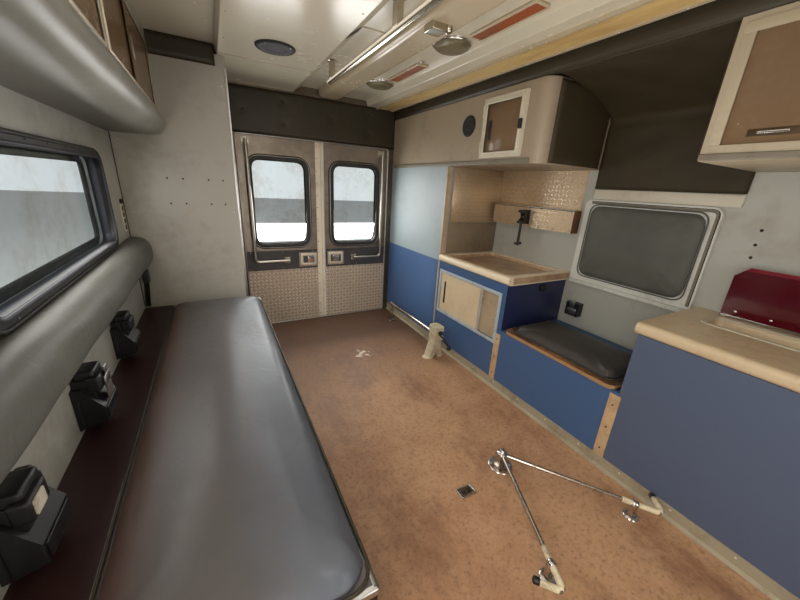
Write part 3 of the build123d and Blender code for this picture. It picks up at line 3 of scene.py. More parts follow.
import bmesh
import bpy
from mathutils import Matrix, Vector


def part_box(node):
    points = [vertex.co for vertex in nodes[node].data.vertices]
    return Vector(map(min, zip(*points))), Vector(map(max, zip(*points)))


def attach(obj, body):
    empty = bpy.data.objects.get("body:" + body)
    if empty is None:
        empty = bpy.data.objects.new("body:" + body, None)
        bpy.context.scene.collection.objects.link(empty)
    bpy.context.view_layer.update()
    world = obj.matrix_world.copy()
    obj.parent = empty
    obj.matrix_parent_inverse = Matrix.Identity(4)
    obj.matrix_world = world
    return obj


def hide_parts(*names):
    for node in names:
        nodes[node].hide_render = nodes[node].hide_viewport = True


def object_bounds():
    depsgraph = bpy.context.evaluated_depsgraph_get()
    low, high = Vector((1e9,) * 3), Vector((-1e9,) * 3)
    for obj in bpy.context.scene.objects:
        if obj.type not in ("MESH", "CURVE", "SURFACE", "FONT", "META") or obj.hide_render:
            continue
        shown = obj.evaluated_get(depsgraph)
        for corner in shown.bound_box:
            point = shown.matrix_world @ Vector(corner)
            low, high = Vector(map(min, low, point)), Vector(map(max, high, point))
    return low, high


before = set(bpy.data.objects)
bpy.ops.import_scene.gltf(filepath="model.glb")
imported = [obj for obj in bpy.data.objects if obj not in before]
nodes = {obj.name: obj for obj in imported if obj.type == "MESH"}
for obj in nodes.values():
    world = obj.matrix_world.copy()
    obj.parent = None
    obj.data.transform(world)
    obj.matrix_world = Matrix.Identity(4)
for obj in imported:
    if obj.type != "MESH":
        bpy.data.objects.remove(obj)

cad_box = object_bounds()

# Stage: a plain pale floor and backdrop light, soft lamps round the body, and the daylight that comes into
# the compartment through its doors and windows. The camera stands in the side entry doorway, where the photo
# was taken.
DECK = 0.400
EYE = Vector((-0.760, -0.827, DECK + 1.150))
LOOK_RIGHT = Vector((0.8797, -0.4721, 0.0528))
LOOK_UP = Vector((0.1097, 0.3099, 0.9442))
LOOK_AHEAD = Vector((0.4629, 0.8254, -0.3249))


def shade(red, green, blue):
    """A colour given as it looks on screen, 0 to 255, as the linear colour that the shaders take."""
    def linear(value):
        part = value / 255
        return part / 12.92 if part <= 0.04045 else ((part + 0.055) / 1.055) ** 2.4
    return (linear(red), linear(green), linear(blue), 1.0)


def feed(node, inputs):
    """Fills a node's inputs, each with a value or with the socket that feeds it."""
    for name, value in inputs.items():
        if isinstance(value, bpy.types.NodeSocket):
            node.id_data.links.new(value, node.inputs[name])
        else:
            node.inputs[name].default_value = value


def add(tree, kind, inputs=None, **settings):
    """One node with its settings and its inputs."""
    made = tree.nodes.new("ShaderNode" + kind)
    for name, value in settings.items():
        setattr(made, name, value)
    feed(made, inputs or {})
    return made


def lamp(name, place, aim, size, power, colour=(1, 1, 1)):
    """A soft rectangular lamp at a place, facing along aim; size is its width and height."""
    light = bpy.data.lights.new(name, "AREA")
    light.shape = "RECTANGLE"
    light.size, light.size_y = size
    light.energy = power
    light.color = colour
    holder = bpy.data.objects.new(name, light)
    holder.location = place
    holder.rotation_euler = Vector(aim).to_track_quat("-Z", "Y").to_euler()
    holder.visible_camera = False
    bpy.context.scene.collection.objects.link(holder)
    return holder


view_camera = bpy.data.cameras.new("photo_camera")
view_camera.lens = 14.93
view_camera.sensor_width = 36.0
view_camera.clip_start = 0.02
camera = bpy.data.objects.new("photo_camera", view_camera)
camera.matrix_world = Matrix.Translation(EYE) @ Matrix((LOOK_RIGHT, LOOK_UP,
                                                       -LOOK_AHEAD)).transposed().to_4x4()
bpy.context.scene.collection.objects.link(camera)
bpy.context.scene.camera = camera
bpy.context.scene.view_settings.view_transform = "Standard"

world = bpy.data.worlds.new("studio")
bpy.context.scene.world = world
world.use_nodes = True
sky = world.node_tree
sky.nodes.clear()
rays = add(sky, "LightPath")
seen_direct = add(sky, "Math", {0: rays.outputs["Is Camera Ray"], 1: rays.outputs["Is Glossy Ray"]},
                  operation="MAXIMUM")
seen_through = add(sky, "Math", {0: seen_direct.outputs[0], 1: rays.outputs["Is Transmission Ray"]},
                   operation="MAXIMUM")
backdrop = add(sky, "Background", {"Color": shade(236, 238, 240), "Strength": 1.0})
ambient = add(sky, "Background", {"Color": (1.0, 1.0, 1.0, 1.0), "Strength": 0.34})
mixed = add(sky, "MixShader", {0: seen_through.outputs[0], 1: ambient.outputs[0], 2: backdrop.outputs[0]})
add(sky, "OutputWorld", {"Surface": mixed.outputs[0]})

for lamp_name, place, size, power in (
    ("studio_key", (-6.5, -5.0, 6.0), (5.0, 5.0), 430),
    ("studio_fill", (7.0, -3.5, 4.5), (5.0, 5.0), 290),
    ("studio_back", (2.5, 8.0, 5.0), (6.0, 4.0), 90),
    ("studio_top", (0.0, 0.0, 8.5), (6.0, 6.0), 260),
):
    lamp(lamp_name, place, Vector((0, 0, 1.0)) - Vector(place), size, power)

DAY = (1.0, 0.955, 0.89)
lamp("day_entry_door", (-1.12, -0.95, 1.30), (1, 0.35, -0.25), (0.70, 1.50), 19, DAY)
lamp("day_side_window", (-1.145, 0.567, 1.42), (1, 0, -0.3), (0.95, 0.30), 4.5, (1.0, 0.98, 0.95))
lamp("day_pass_through", (0.0, -1.88, 1.20), (0, 1, -0.1), (0.55, 1.30), 8, DAY)
for side in (-1, 1):
    lamp("day_rear_window_" + ("curb" if side < 0 else "street"), (side * 0.303, 1.925, 1.37),
         (0, -1, -0.25), (0.38, 0.60), 4.5, (1.0, 0.98, 0.95))
lamp("day_soft_ceiling", (-0.30, 0.2, 2.10), (0, 0, -1), (0.50, 2.60), 4, DAY)
low_glow = lamp("day_rear_low", (0.03, 1.10, DECK + 0.52), (0, 1, -0.04), (0.95, 0.34), 2.6, DAY)
low_glow.visible_glossy = False
lamp("day_floor_bounce", (-0.22, -0.10, DECK + 0.62), (-0.35, 0, 1), (0.50, 1.90), 9, (1.0, 0.94, 0.86))

bpy.ops.mesh.primitive_plane_add(size=60, location=(0, 0, cad_box[0][2]))
studio_floor = bpy.context.object
studio_floor.name = "studio_floor"
paper = bpy.data.materials.new("pale_paper")
paper.use_nodes = True
feed(paper.node_tree.nodes["Principled BSDF"], {"Base Color": shade(222, 223, 222), "Roughness": 0.9})
studio_floor.data.materials.append(paper)

# Underframe and wheel housings: aluminium channel rails and box cross members under the deck, and folded
# sheet housings, all in mill finish, dulled and splashed with road dirt from below. They are bolted and
# welded up first.
def calc(tree, operation, *values):
    """One math node on up to three values or sockets; gives its result."""
    return add(tree, "Math", dict(enumerate(values)), operation=operation).outputs[0]


def new_group(name, inputs, outputs):
    """A shader node group with its sockets, its start node and its end node."""
    tree = bpy.data.node_groups.new(name, "ShaderNodeTree")
    for label, kind, default in inputs:
        made = tree.interface.new_socket(label, in_out="INPUT", socket_type="NodeSocket" + kind)
        made.default_value = default
    for label, kind in outputs:
        tree.interface.new_socket(label, in_out="OUTPUT", socket_type="NodeSocket" + kind)
    return tree, tree.nodes.new("NodeGroupInput"), tree.nodes.new("NodeGroupOutput")


soiling, start, end = new_group(
    "soiling",
    (("Clean", "Color", (1, 1, 1, 1)), ("Soil", "Color", (0, 0, 0, 1)), ("Cover", "Float", 0.3),
     ("Size", "Float", 3.0), ("Stretch", "Vector", (1, 1, 1))),
    (("Colour", "Color"), ("Mask", "Float")),
)
where = add(soiling, "TexCoord").outputs["Object"]
scaled = add(soiling, "VectorMath", {0: where, 1: start.outputs["Stretch"]}, operation="MULTIPLY").outputs[0]
cloud = add(soiling, "TexNoise", {"Vector": scaled, "Scale": start.outputs["Size"], "Detail": 4.5,
            "Roughness": 0.64}).outputs[0]
fine_size = calc(soiling, "MULTIPLY", start.outputs["Size"], 9.0)
fleck = add(soiling, "TexNoise", {"Vector": scaled, "Scale": fine_size, "Detail": 2.0}).outputs[0]
both = calc(soiling, "ADD", calc(soiling, "MULTIPLY", cloud, 0.75), calc(soiling, "MULTIPLY", fleck, 0.25))
edge = calc(soiling, "SUBTRACT", 0.72, calc(soiling, "MULTIPLY", start.outputs["Cover"], 0.45))
cut = add(soiling, "MapRange", {"Value": both, "From Min": calc(soiling, "SUBTRACT", edge, 0.13),
          "From Max": calc(soiling, "ADD", edge, 0.13)}, interpolation_type="SMOOTHSTEP")
mask = calc(soiling, "MULTIPLY", cut.outputs[0], calc(soiling, "MINIMUM", calc(soiling, "MULTIPLY",
            start.outputs["Cover"], 2.0), 1.0))
stained = add(soiling, "Mix", {0: mask, 6: start.outputs["Clean"], 7: start.outputs["Soil"]},
              data_type="RGBA")
soiling.links.new(stained.outputs[2], end.inputs["Colour"])
soiling.links.new(mask, end.inputs["Mask"])

grain, start, end = new_group("grain", (("Size", "Float", 400.0), ("Pebble", "Float", 0.5)),
                              (("Height", "Float"),))
where = add(grain, "TexCoord").outputs["Object"]
pebble = add(grain, "TexVoronoi", {"Vector": where, "Scale": start.outputs["Size"]},
             feature="SMOOTH_F1").outputs[0]
haze = add(grain, "TexNoise", {"Vector": where, "Scale": calc(grain, "MULTIPLY", start.outputs["Size"], 0.5),
           "Detail": 2.0}).outputs[0]
height = add(grain, "Mix", {0: start.outputs["Pebble"], 2: haze, 3: pebble}, data_type="FLOAT").outputs[0]
grain.links.new(height, end.inputs["Height"])


def tone(colour):
    """A colour given as three numbers from 0 to 255, or as a socket, in the form that a node takes."""
    return shade(*colour) if isinstance(colour, tuple) and len(colour) == 3 else colour


def soiled(tree, clean, soil, cover, size, stretch=(1, 1, 1)):
    """Dirt on a colour: a node with the Colour that results and the Mask that tells where the dirt is."""
    return add(tree, "Group", {"Clean": tone(clean), "Soil": tone(soil), "Cover": cover, "Size": size,
               "Stretch": stretch}, node_tree=soiling)


def grained(tree, size, pebble):
    """The height of a fine grain, from even haze at pebble 0 to round pebbles at 1."""
    return add(tree, "Group", {"Size": size, "Pebble": pebble}, node_tree=grain).outputs["Height"]


def raised(tree, height, distance, strength=1.0):
    """The normal of a surface with a small relief on it."""
    return add(tree, "Bump", {"Height": height, "Strength": strength, "Distance": distance}).outputs[0]


def blank(name):
    """A new node material, its tree and its Principled shader."""
    made = bpy.data.materials.new(name)
    made.use_nodes = True
    return made, made.node_tree, made.node_tree.nodes["Principled BSDF"]


def coated(name, colour, soil, cover, size, rough, grains, depth=0.02, metal=0.0, pebble=0.3,
           stretch=(1, 1, 1)):
    """One finish with dirt on it: colour and roughness follow the dirt, and a grain gives bump."""
    made, tree, shader = blank(name)
    dirt = soiled(tree, colour, soil, cover, size, stretch)
    gloss = add(tree, "MapRange", {"Value": dirt.outputs["Mask"], "To Min": rough, "To Max": 0.75})
    feed(shader, {"Base Color": dirt.outputs["Colour"], "Roughness": gloss.outputs[0], "Metallic": metal,
         "Normal": raised(tree, grained(tree, grains, pebble), depth / 1000)})
    return made


def dress(material, *names):
    """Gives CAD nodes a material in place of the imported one."""
    for name in names:
        held = nodes[name].data.materials
        held.clear()
        held.append(material)


mill_aluminium = coated("mill_aluminium", (176, 177, 178), (108, 98, 86), cover=0.5, size=5.0, rough=0.38,
                        metal=1.0, grains=900, depth=0.03, pebble=0.1, stretch=(1, 0.15, 1))
dress(mill_aluminium, "underframe", "wheel_housings")

# Floor: a plywood deck covered with one sheet of red-brown vinyl, worn pale in the aisle and stained dark,
# with painted shade towards the rear doors, and a bright tread-plate step well let into it at the side
# entry door.
tread, start, end = new_group(
    "tread_pattern", (("Across", "Float", 0.0), ("Along", "Float", 0.0), ("Pitch", "Float", 0.03)),
    (("Height", "Float"),)
)
cells = [calc(tread, "DIVIDE", start.outputs[way], start.outputs["Pitch"]) for way in ("Across", "Along")]
inside = [calc(tread, "SUBTRACT", calc(tread, "FRACT", cell), 0.5) for cell in cells]
turn_about = calc(tread, "FLOORED_MODULO", calc(tread, "ADD", *[calc(tread, "FLOOR", cell)
                  for cell in cells]), 2.0)
lean = calc(tread, "SUBTRACT", 1.0, calc(tread, "MULTIPLY", turn_about, 2.0))
leaned = calc(tread, "MULTIPLY", inside[1], lean)
long_way = calc(tread, "ADD", inside[0], leaned)
short_way = calc(tread, "SUBTRACT", inside[0], leaned)
ellipse = calc(tread, "ADD", calc(tread, "POWER", calc(tread, "ABSOLUTE", calc(tread, "DIVIDE", long_way,
               0.74)), 2.0), calc(tread, "POWER", calc(tread, "ABSOLUTE", calc(tread, "DIVIDE", short_way,
               0.17)), 2.0))
lozenge = add(tread, "MapRange", {"Value": ellipse, "From Min": 1.0, "From Max": 0.35},
              interpolation_type="SMOOTHSTEP").outputs[0]
tread.links.new(lozenge, end.inputs["Height"])


def axis_of(tree, letter):
    """One coordinate of the point being shaded, in the body's own frame."""
    where = add(tree, "TexCoord").outputs["Object"]
    return add(tree, "SeparateXYZ", {0: where}).outputs[letter]


def above(tree, value, limit, soft=0.0008):
    """1 where the value is above the limit and 0 below it."""
    return add(tree, "MapRange", {"Value": value, "From Min": limit - soft,
               "From Max": limit + soft}).outputs[0]


def blend_colours(tree, factor, first, second):
    """The first colour where the factor is 0 and the second where it is 1."""
    return add(tree, "Mix", {0: factor, 6: tone(first), 7: tone(second)}, data_type="RGBA").outputs[2]


def blend_values(tree, factor, first, second):
    """The first value where the factor is 0 and the second where it is 1."""
    return add(tree, "Mix", {0: factor, 2: first, 3: second}, data_type="FLOAT").outputs[0]


def tread_plate(name, across, along, pitch, colour, soil, cover):
    """Bright aluminium tread plate, lozenges in the plane of two axes, a painted highlight on each ridge."""
    made, tree, shader = blank(name)
    ridges = add(tree, "Group", {"Across": axis_of(tree, across), "Along": axis_of(tree, along),
                 "Pitch": pitch}, node_tree=tread)
    dirt = soiled(tree, colour, soil, cover, 4.0)
    # Painted highlight: the ridges are near white for the light they catch; the ground is darkened with dirt.
    ground = blend_colours(tree, 0.45, dirt.outputs["Colour"], soil)
    feed(shader, {"Base Color": blend_colours(tree, ridges.outputs[0], ground, (242, 232, 214)),
         "Roughness": blend_values(tree, ridges.outputs[0], 0.42, 0.24), "Metallic": 0.6,
         "Normal": raised(tree, ridges.outputs[0], 0.0016)})
    return made


worn_vinyl, tree, shader = blank("worn_sheet_vinyl")
patches = soiled(tree, (166, 121, 89), (190, 149, 113), 0.62, 1.3)
stains = soiled(tree, patches.outputs["Colour"], (124, 82, 58), 0.36, 3.4, (1.0, 0.55, 1.0))
grit = soiled(tree, stains.outputs["Colour"], (104, 70, 52), 0.30, 60.0)
crumbs = soiled(tree, grit.outputs["Colour"], (64, 44, 32), 0.16, 120.0)
chalk = soiled(tree, crumbs.outputs["Colour"], (208, 186, 160), 0.10, 11.0)
# Painted shade: the vinyl is made darker towards the rear doors.
rear_shade = add(tree, "MapRange", {"Value": axis_of(tree, "Y"), "From Min": 0.7, "From Max": 1.45,
              "To Min": 0.0, "To Max": 0.88}).outputs[0]
shaded = blend_colours(tree, rear_shade, chalk.outputs["Colour"], (66, 42, 31))
spill = [calc(tree, "MULTIPLY", calc(tree, "SUBTRACT", axis_of(tree, letter), middle), spread)
         for letter, middle, spread in (("X", 0.066, 15.0), ("Y", 1.130, 8.0))]
ragged = add(tree, "TexNoise", {"Vector": add(tree, "TexCoord").outputs["Object"], "Scale": 26.0,
             "Detail": 3.0})
far_off = calc(tree, "ADD", calc(tree, "ADD", calc(tree, "MULTIPLY", spill[0], spill[0]),
               calc(tree, "MULTIPLY", spill[1], spill[1])), calc(tree, "MULTIPLY", ragged.outputs[0], 5.0))
splash = add(tree, "MapRange", {"Value": far_off, "From Min": 2.60, "From Max": 2.30}).outputs[0]
shaded = blend_colours(tree, splash, shaded, (214, 200, 184))
on_top = above(tree, axis_of(tree, "Z"), DECK - 0.0015)
feed(shader, {"Base Color": blend_colours(tree, on_top, (168, 168, 166), shaded),
     "Roughness": blend_values(tree, stains.outputs["Mask"], 0.62, 0.42)})
speckle = grained(tree, 260.0, 0.35)
rough_dirt = calc(tree, "ADD", calc(tree, "MULTIPLY", speckle, 0.5), grit.outputs["Mask"])
feed(shader, {"Normal": raised(tree, rough_dirt, 0.0008, 0.8)})
dress(worn_vinyl, "floor_deck")

# Body shell: white-painted aluminium side walls, front bulkhead, rear frame and roof, welded and riveted
# over a frame; inside they are lined with light laminate, and round the rear doors with bare dark-anodised
# sheet.
def shell_finish(name, lining, lining_metal=0.0, lining_rough=0.42):
    """White paint outside, dirty low down, and a lining inside, told apart by where the surface lies."""
    made, tree, shader = blank(name)
    across = calc(tree, "ABSOLUTE", axis_of(tree, "X"))
    along = calc(tree, "ABSOLUTE", axis_of(tree, "Y"))
    up = axis_of(tree, "Z")
    between = calc(tree, "SUBTRACT", 1.0, calc(tree, "MAXIMUM", above(tree, across, 1.1735),
                   above(tree, along, 1.9315)))
    lined = calc(tree, "MULTIPLY", between, above(tree, up, DECK - 0.035))
    low_down = add(tree, "MapRange", {"Value": up, "From Min": 0.9, "From Max": 0.0, "To Min": 0.16,
                   "To Max": 0.75}).outputs[0]
    road = soiled(tree, (226, 227, 226), (150, 140, 126), low_down, 2.4, (1.0, 1.0, 0.6))
    scuffs = soiled(tree, lining, (128, 122, 112), 0.30, 3.2)
    feed(shader, {"Base Color": blend_colours(tree, lined, road.outputs["Colour"], scuffs.outputs["Colour"]),
         "Roughness": blend_values(tree, lined, blend_values(tree, road.outputs["Mask"], 0.22, 0.7),
         lining_rough), "Metallic": calc(tree, "MULTIPLY", lined, lining_metal)})
    peel = grained(tree, 90.0, 0.0)
    feed(shader, {"Normal": raised(tree, peel, 0.0004, 0.5)})
    return made


dress(shell_finish("painted_side_skin", (168, 167, 158)), "curb_wall", "street_wall", "front_bulkhead",
      "roof")
dress(shell_finish("painted_rear_skin", (96, 84, 72), 0.85, 0.36), "rear_frame")


def held(name, work, material, slot, body="module", smooth=True):
    """Puts finished work into the scene as a piece that rides on a body."""
    made = bpy.data.meshes.new(name)
    work.to_mesh(made)
    work.free()
    piece = bpy.data.objects.new(name, made)
    bpy.context.scene.collection.objects.link(piece)
    piece.data.materials.append(material)
    for face in piece.data.polygons:
        face.use_smooth = smooth
    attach(piece, body)
    return piece


def bars(name, boxes, material, slot, soften=0.0012, steps=2, at=(0, 0, 0), body="module"):
    """Blocks between low and high corners, counted from at, in one piece with every edge eased over."""
    work = bmesh.new()
    for low, high in boxes:
        low, high = [Vector([base + value for base, value in zip(at, corner)]) for corner in (low, high)]
        shape = Matrix.Translation((low + high) / 2) @ Matrix.Diagonal((*(high - low), 1.0))
        bmesh.ops.create_cube(work, size=1.0, matrix=shape)
    bmesh.ops.bevel(work, geom=work.edges[:], offset=soften, segments=steps, affect="EDGES", profile=0.6)
    return held(name, work, material, slot, body)


def lathed(name, profile, places, facing, material, slot, sides=24, body="module"):
    """Turned shapes: a profile of (radius, height) points spun about facing, once at each place."""
    work = bmesh.new()
    turn = Vector(facing).to_track_quat("Z", "Y").to_matrix()
    for place in places:
        rows = []
        for radius, height in profile:
            ring = []
            count = 1 if radius < 1e-6 else sides
            for step in range(count):
                angle = 2 * math.pi * step / sides
                point = Vector((radius * math.cos(angle), radius * math.sin(angle), height))
                ring.append(work.verts.new(turn @ point + Vector(place)))
            rows.append(ring)
        for lower, upper in zip(rows, rows[1:]):
            for step in range(sides):
                after = (step + 1) % sides
                if len(lower) == 1:
                    work.faces.new((lower[0], upper[step], upper[after]))
                elif len(upper) == 1:
                    work.faces.new((lower[step], upper[0], lower[after]))
                else:
                    work.faces.new((lower[step], upper[step], upper[after], lower[after]))
    bmesh.ops.recalc_face_normals(work, faces=work.faces)
    return held(name, work, material, slot, body)


def domed(radius, height):
    """The profile of a rivet or screw head."""
    return [(radius, 0.0), (radius * 0.97, height * 0.45), (radius * 0.7, height * 0.85), (0.0, height)]


def rounded(points, radius, closed=True, steps=6):
    """A line through the points with each corner turned into an arc."""
    points = [Vector(point) for point in points]
    last = len(points)
    out = []
    for index, point in enumerate(points):
        if not closed and index in (0, last - 1):
            out.append(point)
            continue
        before = points[index - 1] - point
        after = points[(index + 1) % last] - point
        reach = min(radius, before.length / 2, after.length / 2)
        start = point + before.normalized() * reach
        finish = point + after.normalized() * reach
        for step in range(steps + 1):
            t = step / steps
            out.append(start * (1 - t) ** 2 + point * 2 * t * (1 - t) + finish * t ** 2)
    return out


def skinned(name, rows, material, slot, closed=False, smooth=True, body="module"):
    """A skin over rows of points; closed joins the last row to the first, and else both ends are shut."""
    work = bmesh.new()
    rows = [[work.verts.new(point) for point in row] for row in rows]
    for first, second in list(zip(rows, rows[1:])) + ([(rows[-1], rows[0])] if closed else []):
        for step in range(len(first)):
            after = (step + 1) % len(first)
            work.faces.new((first[step], first[after], second[after], second[step]))
    if not closed:
        work.faces.new(rows[0])
        work.faces.new(list(reversed(rows[-1])))
    bmesh.ops.recalc_face_normals(work, faces=work.faces)
    return held(name, work, material, slot, body, smooth)


def moulding(name, path, section, facing, material, slot, closed=True, smooth=True, body="module"):
    """A section of (outward, off the face) points drawn along a line; facing is the way off the face."""
    facing = Vector(facing).normalized()
    last = len(path)
    rows = []
    for index, point in enumerate(path):
        ahead = path[(index + 1) % last] if closed or index < last - 1 else point
        behind = path[index - 1] if closed or index > 0 else point
        along = (ahead - behind).normalized()
        outward = along.cross(facing).normalized()
        rows.append([point + outward * out + facing * off for out, off in section])
    return skinned(name, rows, material, slot, closed, smooth, body)


def round_section(radius, sides=10, lift=0.0, flat=1.0):
    """A round section for tubes and piping, lifted off the face, and flattened by flat."""
    turns = [2 * math.pi * step / sides for step in range(sides)]
    return [(radius * math.cos(turn), lift + radius * flat * math.sin(turn)) for turn in turns]


def frame_path(face, u, v, radius, steps=8):
    """A rounded rectangle; face is an axis and a place on it, and u and v run along the other two."""
    corners = [[a, b] for a, b in ((u[0], v[0]), (u[1], v[0]), (u[1], v[1]), (u[0], v[1]))]
    for corner in corners:
        corner.insert("xyz".index(face[0]), face[1])
    return rounded(corners, radius, True, steps)


satin_aluminium = coated("satin_aluminium", (190, 190, 188), (140, 130, 116), cover=0.22, size=7.0,
                         rough=0.30, metal=1.0, grains=500, depth=0.02, pebble=0.0, stretch=(1, 0.1, 1))
bright_steel = coated("bright_steel", (206, 204, 200), (150, 138, 120), cover=0.16, size=20.0, rough=0.12,
                      metal=1.0, grains=700, depth=0.01, pebble=0.0)
black_rubber = coated("black_rubber", (34, 33, 32), (84, 78, 70), cover=0.24, size=9.0, rough=0.62,
                      grains=600, depth=0.05)
trim_finish, tree, shader = blank("trim_finish")
inside = calc(tree, "SUBTRACT", 1.0, above(tree, calc(tree, "ABSOLUTE", axis_of(tree, "X")), 0.70))
bare = soiled(tree, (190, 190, 188), (140, 130, 116), 0.25, 7.0)
kick = soiled(tree, (160, 150, 127), (112, 94, 74), 0.30, 9.0)
feed(shader, {"Base Color": blend_colours(tree, inside, bare.outputs["Colour"], kick.outputs["Colour"]),
     "Metallic": calc(tree, "SUBTRACT", 1.0, inside), "Roughness": blend_values(tree, inside, 0.30, 0.52)})
dress(trim_finish, "body_trim")
RIVET = domed(0.0055, 0.0028)
SKIN_X = 1.220
SKIN_Y = 1.980
for side, wall in ((-1, "curb"), (1, "street")):
    seams = [Vector((side * SKIN_X, -1.86 + 0.0775 * step, 2.185)) for step in range(49)]
    lathed(wall + "_roof_seam_rivets", RIVET, seams, (side, 0, 0), satin_aluminium, "anodised_trim", 10)
    for edge_y, edge_name in ((-SKIN_Y, "front"), (SKIN_Y, "rear")):
        corner = [Vector((side * (SKIN_X - 0.075), edge_y, 0.30 + 0.115 * step)) for step in range(16)]
        lathed(f"{wall}_{edge_name}_corner_rivets", RIVET, corner, (0, math.copysign(1, edge_y), 0),
               satin_aluminium, "anodised_trim", 10)
    flare = [(side * (SKIN_X + 0.001), y, z) for y, z in ((-0.02, 0.03), (-0.02, 0.220), (0.11, 0.350),
             (0.73, 0.350), (0.86, 0.220), (0.86, 0.03))]
    moulding(wall + "_wheel_arch_flare", rounded(flare, 0.05, False), [(-0.004, 0.0), (-0.004, 0.010),
             (0.004, 0.014), (0.030, 0.010), (0.034, 0.0)], (side, 0, 0), black_rubber, "black_plastic",
             closed=False)
roof_edge = frame_path(("z", 2.207), (-1.2205, 1.2205), (-1.9805, 1.9805), 0.03, 6)
moulding("roof_drip_rail", roof_edge, [(0.0, -0.009), (0.006, -0.011), (0.008, 0.0), (0.005, 0.009),
         (0.0, 0.008)], (0, 0, 1), satin_aluminium, "anodised_trim")
bars("roof_bows", [((-1.13, y - 0.022, 2.2305), (1.13, y + 0.022, 2.2335)) for y in (-1.32, -0.66, 0.0, 0.66,
     1.32)], satin_aluminium, "white_paint", 0.001)

# Pass-through: a rounded opening to the cab in the front bulkhead, cut through both sheets of the wall. Its
# edge is bound with a black rubber seal on both faces.
PASS_U, PASS_V = (-0.300, 0.300), (DECK + 0.060, DECK + 1.500)
for face_y, facing, face_name in ((-1.930, 1, "inner"), (-2.005, -1, "cab")):
    moulding("pass_through_seal_" + face_name, frame_path(("y", face_y), PASS_U, PASS_V, 0.06),
             [(-0.010, -0.002), (-0.010, 0.007), (-0.002, 0.012), (0.014, 0.011), (0.022, 0.004),
             (0.022, -0.001)], (0, facing, 0), black_rubber, "black_plastic")

# Rear doors: aluminium leaves, painted outside; inside they carry stucco-embossed sheet above, a dark band
# with the latch, and tread plate below, with a cream riveted strip over the meeting line. Rubber gaskets
# hold the glass.
BAND = (DECK + 0.455, DECK + 0.610)
LEAF_FACE_Y = 1.9440
GLASS_V = (DECK + 0.655, DECK + 1.288)


def rear_door_finish(name):
    """Painted outside; inside stucco sheet, tread plate and the strip, told apart by place."""
    made, tree, shader = blank(name)
    across, along, up = [axis_of(tree, letter) for letter in "XYZ"]
    inner = calc(tree, "SUBTRACT", 1.0, above(tree, along, LEAF_FACE_Y + 0.0015))
    strip = calc(tree, "SUBTRACT", 1.0, above(tree, along, LEAF_FACE_Y - 0.001))
    high = above(tree, up, (BAND[0] + BAND[1]) / 2)
    ridges = add(tree, "Group", {"Across": across, "Along": up, "Pitch": 0.029}, node_tree=tread)
    stucco = grained(tree, 150.0, 0.75)
    road = soiled(tree, (226, 227, 226), (160, 150, 136), 0.25, 2.4)
    plate = soiled(tree, (240, 226, 206), (178, 154, 130), 0.35, 4.0)
    sheet = soiled(tree, (146, 136, 124), (110, 98, 86), 0.4, 2.2)
    cream = soiled(tree, (214, 202, 182), (150, 130, 106), 0.25, 9.0)
    # Painted highlight: the tread ridges take the light plate colour, the ground between them a darker one.
    ground = blend_colours(tree, ridges.outputs[0], (168, 152, 134), plate.outputs["Colour"])
    shown = blend_colours(tree, high, ground, sheet.outputs["Colour"])
    shown = blend_colours(tree, strip, shown, cream.outputs["Colour"])
    feed(shader, {"Base Color": blend_colours(tree, inner, road.outputs["Colour"], shown),
         "Metallic": calc(tree, "MULTIPLY", inner, blend_values(tree, strip, blend_values(tree, high, 0.3,
         0.75), 0.2)), "Roughness": blend_values(tree, inner, 0.22, 0.36)})
    relief = blend_values(tree, high, ridges.outputs[0], calc(tree, "MULTIPLY", stucco, 0.55))
    relief = calc(tree, "MULTIPLY", relief, calc(tree, "SUBTRACT", inner, calc(tree, "MULTIPLY", strip,
                  inner)))
    feed(shader, {"Normal": raised(tree, relief, 0.0017)})
    return made


dress(rear_door_finish("rear_door_leaf"), "rear_door_curb", "rear_door_street")

safety_glass, tree, shader = blank("safety_glass")
feed(shader, {"Transmission Weight": 1.0, "IOR": 1.12})
smears = soiled(tree, (232, 240, 240), (206, 204, 196), 0.35, 5.0)
feed(shader, {"Base Color": smears.outputs["Colour"], "Roughness": blend_values(tree, smears.outputs["Mask"],
     0.0, 0.12)})
dress(safety_glass, "rear_glass_curb", "rear_glass_street", "entry_glass", "window_glass")

fitting_finish, tree, shader = blank("rear_door_fittings")
along, up = axis_of(tree, "Y"), axis_of(tree, "Z")
in_band = calc(tree, "MULTIPLY", above(tree, up, BAND[0] - 0.002), calc(tree, "SUBTRACT", 1.0,
               above(tree, up, BAND[1] + 0.002)))
on_band = calc(tree, "MULTIPLY", above(tree, along, LEAF_FACE_Y - 0.0067), in_band)
enamel = soiled(tree, (26, 26, 34), (66, 60, 58), 0.28, 10.0)
plated = soiled(tree, (178, 172, 160), (138, 124, 104), 0.20, 26.0)
feed(shader, {"Base Color": blend_colours(tree, on_band, plated.outputs["Colour"], enamel.outputs["Colour"]),
     "Metallic": calc(tree, "SUBTRACT", 1.0, on_band), "Roughness": blend_values(tree, on_band, 0.28, 0.46)})
dress(fitting_finish, "rear_fittings_curb", "rear_fittings_street")


def grown(pair, by):
    """The same stretch, longer by so much at both ends."""
    return (pair[0] - by, pair[1] + by)


